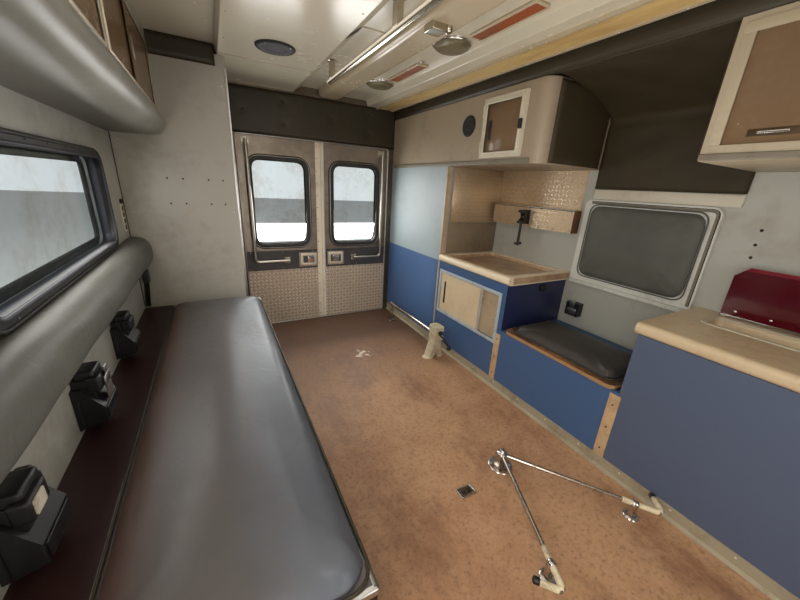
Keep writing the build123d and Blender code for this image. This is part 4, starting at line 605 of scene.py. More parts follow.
GASKET = [(-0.012, -0.003), (-0.014, 0.007), (-0.006, 0.013), (0.012, 0.013), (0.026, 0.008), (0.029, 0.0),
          (0.024, -0.002)]
FILLER = round_section(0.002, 8, 0.0112)
cream_steel = coated("cream_steel", (222, 212, 194), (150, 132, 108), cover=0.20, size=22.0, rough=0.30,
                     metal=0.7, grains=600, depth=0.02)
PLASTIC = coated("grey_plastic", (60, 60, 62), (104, 98, 90), cover=0.25, size=12.0, rough=0.45, grains=500,
                 depth=0.05)
for side, place in ((-1, "curb"), (1, "street")):
    body = place + "_rear_door"
    glass_u = (side * 0.303 - 0.2025, side * 0.303 + 0.2025)
    for face_y, facing, face_name in ((LEAF_FACE_Y, -1, "inner"), (1.980, 1, "outer")):
        ring = frame_path(("y", face_y), glass_u, GLASS_V, 0.080)
        flip = GASKET if facing < 0 else [(-out, off) for out, off in GASKET]
        bead = FILLER if facing < 0 else [(-out, off) for out, off in FILLER]
        moulding(f"{place}_rear_window_gasket_{face_name}", ring, flip, (0, facing, 0), black_rubber,
                 "black_plastic", body=body)
        wide = frame_path(("y", face_y), grown(glass_u, 0.018), grown(GLASS_V, 0.018), 0.098)
        moulding(f"{place}_rear_window_bead_{face_name}", wide, bead, (0, facing, 0), satin_aluminium,
                 "chrome_fittings", body=body)
    middle = -0.1115 if side < 0 else 0.1210
    latch_z = sum(BAND) / 2
    face = LEAF_FACE_Y - 0.020
    moulding(place + "_latch_frame", frame_path(("y", face), (middle - 0.056, middle + 0.056),
             (latch_z - 0.041, latch_z + 0.041), 0.006), [(-0.012, 0.0), (-0.011, 0.003), (0.006, 0.005),
             (0.011, 0.003), (0.011, 0.0)], (0, -1, 0), cream_steel, "chrome_fittings", body=body)
    pad = middle + (0.018 if side < 0 else 0.0)
    bars(place + "_latch_well", [((-0.048, -0.002, -0.033), (0.048, 0, 0.033)), ((-0.034, -0.009, -0.012),
         (-0.022, -0.001, 0.014))], PLASTIC, "chrome_fittings", 0.002, 3, body=body,
         at=(middle, face, latch_z))
    bars(place + "_latch_pad", [((-0.028, -0.008, -0.026), (0.028, -0.001, 0.026))], bright_steel,
         "chrome_fittings", 0.004, 3, body=body, at=(pad, face, latch_z))
    hinge_x = -0.583 if side < 0 else 0.589
    tube_x = hinge_x - side * 0.062
    foot_x = tube_x - side * 0.240
    bolts = [Vector((x + dx, y, z + dz)) for x, y, z in ((foot_x, LEAF_FACE_Y - 0.012, latch_z),
             (tube_x, LEAF_FACE_Y - 0.006, DECK + 1.3945)) for dx in (-0.017, 0.017)
             for dz in (-0.017, 0.017)]
    bolts += [Vector((x, LEAF_FACE_Y - 0.006, z)) for z in (BAND[0] + 0.012, BAND[1] - 0.012)
              for x in (hinge_x - side * 0.03, hinge_x - side * 0.27, hinge_x - side * 0.51)]
    lathed(place + "_band_screws", domed(0.0048, 0.003), bolts, (0, -1, 0), bright_steel, "chrome_fittings",
           12, body=body)
    dish = frame_path(("y", 1.980), (middle - 0.060, middle + 0.060), (latch_z - 0.055, latch_z + 0.055),
                      0.02)
    moulding(place + "_outside_latch_dish", dish, [(-0.020, 0.001), (-0.006, 0.009), (0.006, 0.009),
             (0.012, 0.0)], (0, 1, 0), bright_steel, "chrome_fittings", body=body)
    bars(place + "_outside_paddle", [((-0.045, 1.9802, -0.036), (0.045, 1.986, 0.036)),
         ((-0.038, 1.984, -0.030), (0.038, 1.993, 0.004))], PLASTIC, "chrome_fittings", 0.003, 3, body=body,
         at=(middle, 0, latch_z))
    grab = rounded([(side * 0.49, 1.980, 0.62), (side * 0.49, 2.013, 0.62), (side * 0.49, 2.013, 0.99),
                   (side * 0.49, 1.980, 0.99)], 0.02, False)
    moulding(place + "_outside_grab", grab, round_section(0.010), (1, 0, 0), bright_steel, "chrome_fittings",
             closed=False, body=body)
STRIP_RIVETS = [Vector((-0.022, LEAF_FACE_Y - 0.004, DECK + 0.035 + 0.0915 * step)) for step in range(16)]
lathed("meeting_strip_rivets", domed(0.0042, 0.0026), STRIP_RIVETS, (0, -1, 0), bright_steel,
       "chrome_fittings", 10, body="curb_rear_door")
bars("meeting_strip_groove", [((0.0090, -0.0046, 0.012), (0.0108, -0.0038, 1.430))], PLASTIC,
     "chrome_fittings", 0.0002, 1, body="curb_rear_door", at=(0, LEAF_FACE_Y, DECK))
door_seal = frame_path(("y", 1.9285), (-0.583, 0.589), (DECK + 0.002, DECK + 1.437), 0.03)
moulding("rear_doorway_trim", door_seal, [(-0.004, 0.0), (-0.004, 0.004), (0.0, 0.006), (0.003, 0.004),
         (0.003, 0.0)], (0, -1, 0), satin_aluminium, "anodised_trim")

# Side entry door and outside hatches: painted leaves with piano hinges, a rubber edge seal, a paddle latch
# each, and in the entry door a gasketed window.
leaf_paint = coated("leaf_paint", (226, 227, 226), (158, 148, 134), cover=0.26, size=2.4, rough=0.22,
                    grains=90, depth=0.3, pebble=0.0)
dress(leaf_paint, "entry_door", "curb_hatch", "street_rear_hatch", "street_front_hatch")
for u, face_x, facing, name, body in (
    ((-1.190, -0.710), -1.220, -1, "entry_window_outer", "side_entry_door"),
    ((-1.190, -0.710), -1.186, 1, "entry_window_inner", "side_entry_door"),
    ((0.047, 1.087), -1.220, -1, "side_window_outer", "module"),
):
    ring = frame_path(("x", face_x), u, (DECK + 0.846, DECK + 1.201), 0.060)
    profile = [(-out, off) for out, off in GASKET] if facing > 0 else GASKET
    bead = [(-out, off) for out, off in FILLER] if facing > 0 else FILLER
    moulding(name + "_gasket", ring, profile, (facing, 0, 0), black_rubber, "black_plastic", body=body)
    wide = frame_path(("x", face_x), grown(u, 0.018), (DECK + 0.828, DECK + 1.219), 0.078)
    moulding(name + "_bead", wide, bead, (facing, 0, 0), satin_aluminium, "chrome_fittings", body=body)
for side, y, z, name, body in (
    (-1, -0.640, 1.05, "entry_door", "side_entry_door"),
    (-1, 1.800, 1.15, "curb_hatch", "curb_hatch_leaf"),
    (1, 1.800, 1.05, "street_rear_hatch", "street_rear_hatch_leaf"),
    (1, -1.210, 0.72, "street_front_hatch", "street_front_hatch_leaf"),
):
    ring = frame_path(("x", side * SKIN_X), (y - 0.055, y + 0.055), (z - 0.060, z + 0.060), 0.02)
    moulding(name + "_latch_dish", ring, [(-0.016, 0.001), (-0.006, 0.008), (0.006, 0.008), (0.012, 0.0)],
             (side, 0, 0), bright_steel, "chrome_fittings", body=body)
    near, far = sorted((side * (SKIN_X + 0.0002), side * (SKIN_X + 0.006)))
    lift = sorted((side * (SKIN_X + 0.004), side * (SKIN_X + 0.014)))
    bars(name + "_latch_paddle", [((near, -0.042, -0.048), (far, 0.042, 0.048)), ((lift[0], -0.036, -0.040),
         (lift[1], 0.036, 0.002))], PLASTIC, "chrome_fittings", 0.003, 3, body=body, at=(0, y, z))
    low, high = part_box(name)
    edge = frame_path(("x", side * (SKIN_X - 0.001)), (low[1] + 0.006, high[1] + 0.001),
                      (low[2] - 0.001, high[2] + 0.001), 0.004, 2)
    moulding(name + "_edge_seal", edge, [(-0.001, -0.010), (-0.001, 0.001), (0.003, 0.0015),
             (0.004, -0.010)], (side, 0, 0), black_rubber, "black_plastic", body=body)

# Outside lamps: moulded lenses held in bright pressed bezels, red at the corners and clear between them for
# the scene lamps. Each is screwed to the skin over a gasket.
lens_red, tree, shader = blank("lamp_red")
feed(shader, {"Base Color": blend_colours(tree, above(tree, calc(tree, "ABSOLUTE", axis_of(tree, "Y")), 0.4),
     (206, 206, 202), (150, 16, 14))})
ribs = add(tree, "TexWave", {"Vector": add(tree, "TexCoord").outputs["Object"], "Scale": 28.0},
           bands_direction="Z").outputs[1]
feed(shader, {"Normal": raised(tree, ribs, 0.002), "Roughness": blend_values(tree, ribs, 0.10, 0.22),
     "Transmission Weight": 0.35})
dress(lens_red, "outside_lamps")
LAMP_V = (DECK + 1.575, DECK + 1.745)
for side in (-1, 1):
    for y in (-1.920, 1.700, -0.115):
        moulding(f"lamp_bezel_side_{'curb' if side < 0 else 'street'}_{int((y + 2) * 100)}",
                 frame_path(("x", side * SKIN_X), (y, y + 0.220), LAMP_V, 0.006),
                 [(-0.010, 0.0), (-0.010, 0.007), (-0.003, 0.012), (0.008, 0.010), (0.014, 0.0)],
                 (side, 0, 0), bright_steel, "lamp_lens")
    for end in (-1, 1):
        u = sorted((side * 1.160, side * 0.940))
        moulding(f"lamp_bezel_{'front' if end < 0 else 'rear'}_{'curb' if side < 0 else 'street'}",
                 frame_path(("y", end * SKIN_Y), u, LAMP_V, 0.006), [(-0.010, 0.0), (-0.010, 0.007),
                 (-0.003, 0.012), (0.008, 0.010), (0.014, 0.0)], (0, end, 0), bright_steel, "lamp_lens")

# Side window: a dark enamelled rim screwed over the opening, with a grey bead and reveal inside it, and a
# rubber lip that holds the pane.
rim_finish = coated("window_rim_enamel", (28, 27, 26), (70, 64, 56), cover=0.16, size=8.0, rough=0.55,
                    metal=0.3, grains=500, depth=0.04)
reveal_grey = coated("reveal_grey", (72, 73, 80), (56, 54, 52), cover=0.25, size=8.0, rough=0.55, metal=0.5,
                     grains=500, depth=0.03, stretch=(1, 0.1, 1))
dress(rim_finish, "window_rim")
low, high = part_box("window_rim")
RIM = ((low[1], high[1]), (low[2], high[2]))
for name, inset, material, section, slot in (
    ("window_rim_bead", 0.030, reveal_grey, [(-0.004, 0.0), (-0.004, 0.004), (0.0, 0.006), (0.005, 0.004),
     (0.005, 0.0)], "anodised_trim"),
    ("window_rim_lip", 0.006, black_rubber, [(-0.004, 0.0), (-0.003, 0.003), (0.003, 0.004), (0.006, 0.0)],
     "black_plastic"),
):
    ring = frame_path(("x", high[0]), grown(RIM[0], -inset), grown(RIM[1], -inset), 0.086 - inset)
    moulding(name, ring, [(-out, off) for out, off in section], (1, 0, 0), material, slot)
reveal = frame_path(("x", high[0] - 0.036), grown(RIM[0], -0.030), grown(RIM[1], -0.030), 0.056)
moulding("window_reveal", reveal, [(0.0, -0.012), (0.004, -0.012), (0.004, 0.030), (0.0, 0.030)], (1, 0, 0),
         reveal_grey, "anodised_trim")
rim_screws = [Vector((high[0], y, z)) for z in (low[2] + 0.016, high[2] - 0.016)
              for y in [low[1] + 0.12 + 0.142 * step for step in range(7)]]
lathed("window_rim_screws", domed(0.0044, 0.0026), rim_screws, (1, 0, 0), reveal_grey, "anodised_trim", 12)

# Ceiling liner: one glossy white moulded sheet, with its folds, a speaker let into the curb soffit and a
# rounded keel that hides the wiring. Dust lies on it in patches.
liner_gloss = coated("ceiling_gloss", (196, 189, 170), (158, 144, 118), cover=0.22, size=2.6, rough=0.20,
                     grains=60, depth=0.25, pebble=0.0)
keel_gloss = coated("keel_gloss", (178, 164, 138), (158, 146, 122), cover=0.20, size=5.0, rough=0.18,
                    grains=60, depth=0.15, pebble=0.0)
dress(liner_gloss, "ceiling_liner")
dress(keel_gloss, "ceiling_trims")
SOFFIT_Z = DECK + 1.740
speaker_at = Vector((-0.421, 1.123, SOFFIT_Z))
perforated, tree, shader = blank("speaker_mesh")
holes = add(tree, "TexVoronoi", {"Vector": add(tree, "TexCoord").outputs["Object"], "Scale": 260.0,
            "Randomness": 0.0}, feature="F1")
open_hole = add(tree, "MapRange", {"Value": holes.outputs["Distance"], "From Min": 0.22,
                "From Max": 0.34}).outputs[0]
feed(shader, {"Base Color": blend_colours(tree, open_hole, (6, 6, 6), (22, 21, 20)),
     "Roughness": blend_values(tree, open_hole, 0.9, 0.62), "Normal": raised(tree, open_hole, 0.0012)})
lathed("ceiling_speaker", [(0.092, 0.0), (0.092, 0.004), (0.086, 0.009), (0.078, 0.010), (0.070, 0.007),
       (0.040, 0.010), (0.0, 0.011)], [speaker_at], (0, 0, -1), perforated, "black_plastic", 40)
lathed("ceiling_speaker_screws", domed(0.0036, 0.0022),
       [speaker_at + Vector((0.082 * math.cos(turn), 0.082 * math.sin(turn), -0.0085))
       for turn in (0.8, 2.37, 3.94, 5.5)], (0, 0, -1), bright_steel, "chrome_fittings", 10)
seam_grey = coated("seam_tape", (122, 122, 120), (90, 86, 80), cover=0.3, size=9.0, rough=0.5, grains=400,
                   depth=0.04)
tape = bmesh.new()
for y in (0.765, 0.835):
    for place in (Vector((-0.176, 0, SOFFIT_Z + 0.0006)), Vector((-0.120, 0, DECK + 1.7802))):
        tape.verts.new((place.x, y, place.z))
tape.verts.ensure_lookup_table()
tape.faces.new((tape.verts[0], tape.verts[1], tape.verts[3], tape.verts[2]))
bmesh.ops.solidify(tape, geom=tape.faces[:], thickness=0.0012)
held("soffit_seam_cover", tape, seam_grey, "grey_vinyl", smooth=False)
panel_seams = [((-0.660, y - 0.006, SOFFIT_Z - 0.0016), (-0.182, y + 0.006, SOFFIT_Z + 0.0004))
               for y in (1.38, 0.17, -1.04)]
panel_seams += [((-0.112, y - 0.006, DECK + 1.7834), (0.0, y + 0.006, DECK + 1.7854)) for y in (0.78, -0.44)]
bars("ceiling_panel_seams", panel_seams, keel_gloss, "white_liner", 0.0005, 1)
soffit_screws = [Vector((x, -1.75 + 0.29 * step, SOFFIT_Z)) for x in (-0.640, -0.200) for step in range(13)]
lathed("ceiling_screws", domed(0.0042, 0.002), soffit_screws, (0, 0, -1), keel_gloss, "white_liner", 10)

# Street light box: a ribbed, sun-yellowed diffuser between two white screwed trims, flat dome lamps of
# fluted glass in steel bezels, and long lamps with a red-brown reflector strip in square white frames.
diffuser, tree, shader = blank("lamp_lens_mix")
across, along, up = [axis_of(tree, letter) for letter in "XYZ"]
on_box = above(tree, across, 0.42)
flutes = add(tree, "TexWave", {"Vector": add(tree, "TexCoord").outputs["Object"], "Scale": 44.0},
             bands_direction="X").outputs[1]
yellowed = soiled(tree, (212, 184, 124), (170, 136, 84), 0.42, 3.0, (1.0, 0.2, 1.0))
clear = soiled(tree, (200, 180, 155), (132, 112, 86), 0.40, 14.0)
red_strip = soiled(tree, (146, 68, 28), (98, 50, 24), 0.4, 9.0)
is_strip = calc(tree, "MULTIPLY", above(tree, across, 0.2705), calc(tree, "SUBTRACT", 1.0,
                above(tree, across, 0.3275)))
is_strip = calc(tree, "MULTIPLY", is_strip, above(tree, up, DECK + 1.7555))
shown = blend_colours(tree, is_strip, clear.outputs["Colour"], red_strip.outputs["Colour"])
feed(shader, {"Base Color": blend_colours(tree, on_box, shown, yellowed.outputs["Colour"]),
     "Roughness": blend_values(tree, flutes, 0.26, 0.40), "Normal": raised(tree, flutes, 0.0012, 0.6)})
dress(diffuser, "ceiling_lamps")
BOX_Z = DECK + 1.728
trim_screws = [Vector((x, -1.80 + 0.21 * step, BOX_Z - 0.012)) for x in (0.469, 0.601) for step in range(18)]
lathed("lens_trim_screws", domed(0.0036, 0.0022), trim_screws, (0, 0, -1), satin_aluminium, "anodised_trim",
       10)
DOME_YS = [1.424 - 0.770 * row for row in range(4)]
DOME_Z = DECK + 1.767
domes = [Vector((0.266, y, DOME_Z)) for y in DOME_YS]
lathed("dome_lamp_bezels", [(0.090, 0.0), (0.090, 0.005), (0.088, 0.009), (0.084, 0.0105), (0.081, 0.009),
       (0.081, 0.002)], domes, (0, 0, -1), bright_steel, "chrome_fittings", 40)
glass_flutes, tree, shader = blank("fluted_glass")
rays = add(tree, "TexWave", {"Vector": add(tree, "TexCoord").outputs["Object"], "Scale": 60.0},
           bands_direction="Y").outputs[1]
haze = soiled(tree, (138, 128, 98), (100, 88, 62), 0.35, 18.0)
feed(shader, {"Base Color": haze.outputs["Colour"], "Normal": raised(tree, rays, 0.002, 0.9),
     "Roughness": 0.24, "Transmission Weight": 0.30})
lathed("dome_lamp_glasses", [(0.0812, 0.004), (0.0806, 0.010), (0.0760, 0.0185), (0.0660, 0.0245),
       (0.0400, 0.0266), (0.0, 0.0275)], domes, (0, 0, -1), glass_flutes, "lamp_lens", 40)
strips = [0.954 - 0.770 * row for row in range(4)]
for row, y in enumerate(strips):
    ring = frame_path(("z", BOX_Z + 0.039), (0.266, 0.330), (y, y + 0.345), 0.003, 6)
    moulding(f"strip_lamp_frame_{row + 1}", ring, [(-0.003, 0.0), (-0.003, 0.0115), (0.003, 0.0125),
             (0.0045, 0.010), (0.0045, 0.0)], (0, 0, -1), keel_gloss, "white_liner")
bars("ceiling_switch", [((0.262, 0.915, -0.006), (0.286, 0.933, 0.0004)), ((0.267, 0.919, -0.011),
     (0.281, 0.928, -0.004))], bright_steel, "chrome_fittings", 0.0015, at=(0, 0, DOME_Z))

# Overhead rail: a polished stainless tube on flanged posts screwed to the ceiling, with a sliding hook block
# for bottles and its knob.
polished = coated("polished_stainless", (190, 183, 168), (140, 130, 112), cover=0.18, size=20.0, rough=0.17,
                  metal=1.0, grains=600, depth=0.01, pebble=0.0, stretch=(1, 0.05, 1))
dress(polished, "grab_rail")
low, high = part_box("grab_rail")
rail_x = (low[0] + high[0]) / 2
rail_feet = [low[1] + 0.059 + (high[1] - low[1] - 0.118) * step / 3 for step in range(4)]
lathed("rail_flanges", [(0.0, 0.006), (0.016, 0.006), (0.026, 0.004), (0.029, 0.0)],
       [Vector((rail_x, y, high[2] - 0.0005)) for y in rail_feet], (0, 0, -1), polished, "stainless", 28)
for name, cap_y, facing in (("rail_end_caps", high[1], 1), ("rail_front_cap", low[1], -1)):
    lathed(name, [(0.0128, -0.010), (0.0136, -0.010), (0.0136, 0.002), (0.010, 0.006), (0.0, 0.007)],
           [Vector((rail_x, cap_y, low[2] + 0.0125))], (0, facing, 0), polished, "stainless", 24)
HOOK_AT = Vector((0.058, 0.472, DECK + 1.740))
bars("bottle_hook_block", [((-0.044, -0.040, 0.008), (0.044, 0.040, 0.022)), ((-0.034, -0.032, -0.030),
     (0.034, 0.032, 0.010))], polished, "stainless", 0.005, 3, at=(HOOK_AT.x, HOOK_AT.y, HOOK_AT.z))
lathed("bottle_hook_knob", [(0.0, 0.030), (0.014, 0.028), (0.019, 0.020), (0.019, 0.008), (0.012, 0.002),
       (0.006, 0.0)], [HOOK_AT + Vector((0.034, -0.010, -0.010))], (1, -0.25, 0), polished, "stainless", 28)

# Vinyl padding over the rear doors and along the cabinets: thin foam on plywood under smooth dark olive
# vinyl, pulled flat and held with covered buttons, with a welt along its lower edge.
def vinyl(name, colour, soil, cover, size, rough, creases, crease_size=5.0, ramp=()):
    """Upholstery vinyl: a fine leather grain, soft creases, dirt that dulls it, and other tones across."""
    made, tree, shader = blank(name)
    for start, finish, other in ramp:
        across = add(tree, "MapRange", {"Value": axis_of(tree, "X"), "From Min": start, "From Max": finish},
                     interpolation_type="SMOOTHSTEP").outputs[0]
        colour = blend_colours(tree, across, colour, other)
    dirt = soiled(tree, colour, soil, cover, size)
    worn = soiled(tree, (1, 1, 1, 1), (0.78, 0.78, 0.80, 1), 0.5, size * 0.35)
    mixed = add(tree, "Mix", {0: 1.0, 6: dirt.outputs["Colour"], 7: worn.outputs["Colour"]},
                data_type="RGBA", blend_type="MULTIPLY")
    feed(shader, {"Base Color": mixed.outputs[2], "Roughness": blend_values(tree, dirt.outputs["Mask"],
         rough, 0.68)})
    leather = grained(tree, 1400.0, 0.8)
    fine = add(tree, "Bump", {"Height": leather, "Strength": 0.8, "Distance": 0.00012})
    where = add(tree, "TexCoord").outputs["Object"]
    wander = add(tree, "TexNoise", {"Vector": where, "Scale": crease_size, "Detail": 5.0, "Roughness": 0.55})
    ridge = add(tree, "MapRange", {"Value": calc(tree, "ABSOLUTE", calc(tree, "SUBTRACT", wander.outputs[0],
                0.5)), "From Min": 0.0, "From Max": 0.05}, interpolation_type="SMOOTHSTEP").outputs[0]
    fold = add(tree, "Bump", {"Height": ridge, "Strength": 0.5, "Distance": creases,
               "Normal": fine.outputs[0]})
    feed(shader, {"Normal": fold.outputs[0], "Specular IOR Level": 0.32})
    return made


olive_vinyl = vinyl("olive_vinyl", (53, 47, 33), (92, 80, 56), cover=0.16, size=2.2, rough=0.46,
                    creases=0.0006)
grey_vinyl = vinyl("grey_vinyl", (66, 63, 60), (92, 78, 64), cover=0.20, size=2.4, rough=0.40,
                   creases=0.0007, crease_size=3.5)
# Worn brown at the ledge, grey in the middle; the blue-grey towards the aisle is a painted reflection.
bench_vinyl = vinyl("bench_vinyl", (84, 62, 54), (98, 82, 72), cover=0.18, size=2.4, rough=0.38,
                    creases=0.0007, crease_size=3.5, ramp=((-1.04, -0.90, (86, 82, 81)),
                    (-0.84, -0.64, (92, 96, 104))))
# Painted light: a lighter copy of the bolster's green-grey vinyl, for the entry door's daylight on the nose.
nose_vinyl_painted_light = vinyl("nose_vinyl_painted_light", (128, 127, 118), (112, 104, 88), cover=0.14, size=2.6, rough=0.36,
                   creases=0.0006, crease_size=3.0)
green_vinyl = vinyl("green_grey_vinyl", (94, 94, 87), (104, 97, 82), cover=0.16, size=2.6, rough=0.50,
                    creases=0.0008, crease_size=6.0)


def swollen(name, low, high, corner, edge, voxel, cap, material, node, body, round_axis="Z", foot=None):
    """A pad: a rounded block, swelled as cloth from its fixed back, fitted to its box and smoothed."""
    low, high = Vector(low), Vector(high)
    axis = "XYZ".index(round_axis)
    work = bmesh.new()
    shape = Matrix.Translation((low + high) / 2) @ Matrix.Diagonal((*(high - low), 1.0))
    bmesh.ops.create_cube(work, size=1.0, matrix=shape)
    along = [e for e in work.edges if abs((e.verts[0].co - e.verts[1].co).normalized()[axis]) > 0.9]
    bmesh.ops.bevel(work, geom=along, offset=corner, segments=8, affect="EDGES", profile=0.5)
    front = high[axis] if foot is None or foot < 0 else low[axis]
    rim = [e for e in work.edges if all(abs(v.co[axis] - front) < 1e-5 for v in e.verts)]
    bmesh.ops.bevel(work, geom=rim, offset=edge, segments=5, affect="EDGES", profile=0.5)
    source = bpy.data.meshes.new(name + "_form")
    work.to_mesh(source)
    work.free()
    piece = bpy.data.objects.new(name, source)
    bpy.context.scene.collection.objects.link(piece)
    back = low[axis] if front == high[axis] else high[axis]
    remesh = piece.modifiers.new("even_faces", "REMESH")
    remesh.mode = "VOXEL"
    remesh.voxel_size = voxel * 1.0
    even = bpy.data.meshes.new_from_object(piece.evaluated_get(bpy.context.evaluated_depsgraph_get()))
    piece.modifiers.remove(remesh)
    piece.data = even
    start = [v.co.copy() for v in even.vertices]
    held_back = piece.vertex_groups.new(name="back")
    held_back.add([v.index for v in even.vertices if abs(v.co[axis] - back) < voxel * 1.2], 1.0,
                  "REPLACE")
    cloth = piece.modifiers.new("swell", "CLOTH")
    for setting, value in (("quality", 5), ("mass", 0.3), ("tension_stiffness", 25),
                           ("compression_stiffness", 12),
                           ("shear_stiffness", 8), ("bending_stiffness", 1.5), ("use_pressure", True),
                           ("uniform_pressure_force", 4.0), ("vertex_group_mass", "back")):
        setattr(cloth.settings, setting, value)
    cloth.settings.effector_weights.gravity = 0.0
    cloth.collision_settings.use_self_collision = False
    cloth.point_cache.frame_start = 1
    cloth.point_cache.frame_end = 20
    for frame_number in range(1, 21):
        bpy.context.scene.frame_set(frame_number)
    swelled = bpy.data.meshes.new_from_object(piece.evaluated_get(bpy.context.evaluated_depsgraph_get()))
    piece.modifiers.remove(cloth)
    piece.data = swelled
    bpy.context.scene.frame_set(1)
    limit_low, limit_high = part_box(node)
    moves = [vertex.co - rest for vertex, rest in zip(piece.data.vertices, start)]
    for way in range(3):
        room = 1.0
        for move, rest in zip(moves, start):
            if abs(move[way]) > 1e-5:
                limit = limit_high[way] if move[way] > 0 else limit_low[way]
                room = min(room, max((limit - rest[way]) / move[way], 0.0), cap / abs(move[way]))
        for move in moves:
            move[way] *= room
    for vertex, rest, move in zip(piece.data.vertices, start, moves):
        vertex.co = rest + move
    relaxed = bmesh.new()
    relaxed.from_mesh(piece.data)
    free = [vertex for vertex in relaxed.verts if abs(vertex.co[axis] - back) > voxel * 1.5]
    for turn in range(10):
        bmesh.ops.smooth_vert(relaxed, verts=free, factor=0.5, use_axis_x=True, use_axis_y=True,
                              use_axis_z=True)
    relaxed.to_mesh(piece.data)
    relaxed.free()
    smooth = piece.modifiers.new("soft", "SUBSURF")
    smooth.levels = smooth.render_levels = 1
    final = bpy.data.meshes.new_from_object(piece.evaluated_get(bpy.context.evaluated_depsgraph_get()))
    piece.modifiers.remove(smooth)
    piece.data = final
    piece.vertex_groups.clear()
    piece.data.materials.clear()
    piece.data.materials.append(material)
    for face in piece.data.polygons:
        face.use_smooth = True
    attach(piece, body)
    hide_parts(node)
    return piece


def quilted(name, low, high, facing, buttons, bulge, material, slot, step, dip=0.010, reach=0.05):
    """A wall pad: a sheet over foam with rolled edges and dimples at its buttons; facing is axis and sign."""
    axis, sign = facing
    ways = [way for way in range(3) if way != axis]
    low, high = Vector(low), Vector(high)
    size = high - low
    counts = [max(2, round(size[way] / step)) for way in ways]
    work = bmesh.new()
    grid = []
    back = low[axis] if sign > 0 else high[axis]
    for i in range(counts[0] + 1):
        row = []
        for j in range(counts[1] + 1):
            place = Vector((0, 0, 0))
            place[ways[0]] = low[ways[0]] + size[ways[0]] * i / counts[0]
            place[ways[1]] = low[ways[1]] + size[ways[1]] * j / counts[1]
            inset = min(place[ways[0]] - low[ways[0]], high[ways[0]] - place[ways[0]],
                        place[ways[1]] - low[ways[1]], high[ways[1]] - place[ways[1]])
            roll = min(inset / bulge, 1.0)
            rise = size[axis] * (0.30 + 0.70 * math.sqrt(max(0.0, 1 - (1 - roll) ** 2)))
            for button in buttons:
                gap = (place[ways[0]] - button[0]) ** 2 + (place[ways[1]] - button[1]) ** 2
                rise -= dip * math.exp(-gap / (reach ** 2) * 4)
            rise -= 0.0012 * math.sin(place[ways[0]] * 11.0 + 1.3) * math.sin(place[ways[1]] * 9.0)
            place[axis] = back + sign * min(max(rise, 0.002), size[axis])
            row.append(work.verts.new(place))
        grid.append(row)
    for i in range(counts[0]):
        for j in range(counts[1]):
            work.faces.new((grid[i][j], grid[i + 1][j], grid[i + 1][j + 1], grid[i][j + 1]))
    rim = [edge for edge in work.edges if edge.is_boundary]
    pulled = bmesh.ops.extrude_edge_only(work, edges=rim)
    for vertex in [v for v in pulled["geom"] if isinstance(v, bmesh.types.BMVert)]:
        vertex.co[axis] = back
    ends = [edge for edge in work.edges if edge.is_boundary]
    bmesh.ops.contextual_create(work, geom=ends)
    bmesh.ops.recalc_face_normals(work, faces=work.faces)
    piece = held(name, work, material, slot)
    return piece


closet_low, closet_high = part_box("closet")
END_FACE_Y = 1.930
VALANCE_Z = (DECK + 1.4425, DECK + 1.7275)
VALANCE_BUTTONS = [(-0.52, DECK + 1.585), (-0.255, DECK + 1.660), (-0.255, DECK + 1.520),
                   (0.10, DECK + 1.590), (0.40, DECK + 1.660), (0.40, DECK + 1.520)]
valance = quilted("rear_valance_pad", (-0.6265, END_FACE_Y - 0.0158, VALANCE_Z[0]),
                  (0.6395, END_FACE_Y - 0.0003, VALANCE_Z[1]), (1, -1), VALANCE_BUTTONS, 0.016, olive_vinyl,
                  "brown_vinyl", 0.014, 0.006)
header = quilted("cabinet_header_pad", (0.6262, -1.9295, DECK + 1.6605), (0.6398, 1.913, DECK + 1.7275),
                 (0, -1), [], 0.014, olive_vinyl, "brown_vinyl", 0.016)
for pad in (valance, header):
    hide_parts("wall_padding")
lathed("valance_buttons", [(0.011, 0.0), (0.0105, 0.003), (0.007, 0.0055), (0.0, 0.0062)],
       [Vector((x, END_FACE_Y - 0.0098, z)) for x, z in VALANCE_BUTTONS], (0, -1, 0), olive_vinyl,
       "brown_vinyl", 20)
moulding("valance_welt", [Vector((-0.626, END_FACE_Y - 0.010, VALANCE_Z[0] + 0.002)),
         Vector((0.639, END_FACE_Y - 0.010, VALANCE_Z[0] + 0.002))], round_section(0.0042), (0, -1, 0),
         olive_vinyl, "brown_vinyl", closed=False)

# Rear closet: grey-white laminate on plywood with two rows of screw holes left by a lost rack, a bright
# corner trim along its aisle edge, a vinyl strip under the ceiling and a slotted steel strip on the wall
# beside it.
pale_laminate = coated("grey_white_laminate", (150, 146, 135), (116, 106, 88), cover=0.26, size=2.6,
                       rough=0.36, grains=240, depth=0.06, pebble=0.1)
dress(pale_laminate, "closet")
# Painted shade: a near-black finish stands for the shade inside holes and slots; it also colours dark seams
# and screw heads.
shade_and_dark_detail, tree, shader = blank("hole_shade_and_dark_detail")
pits = soiled(tree, (26, 22, 18), (60, 50, 40), 0.4, 80.0)
feed(shader, {"Base Color": pits.outputs["Colour"], "Roughness": 0.95})
front = closet_low.y
hole_places = [(x, DECK + h) for x in (-0.964, -0.892, -0.770, -0.699) for h in (1.124, 0.994)]
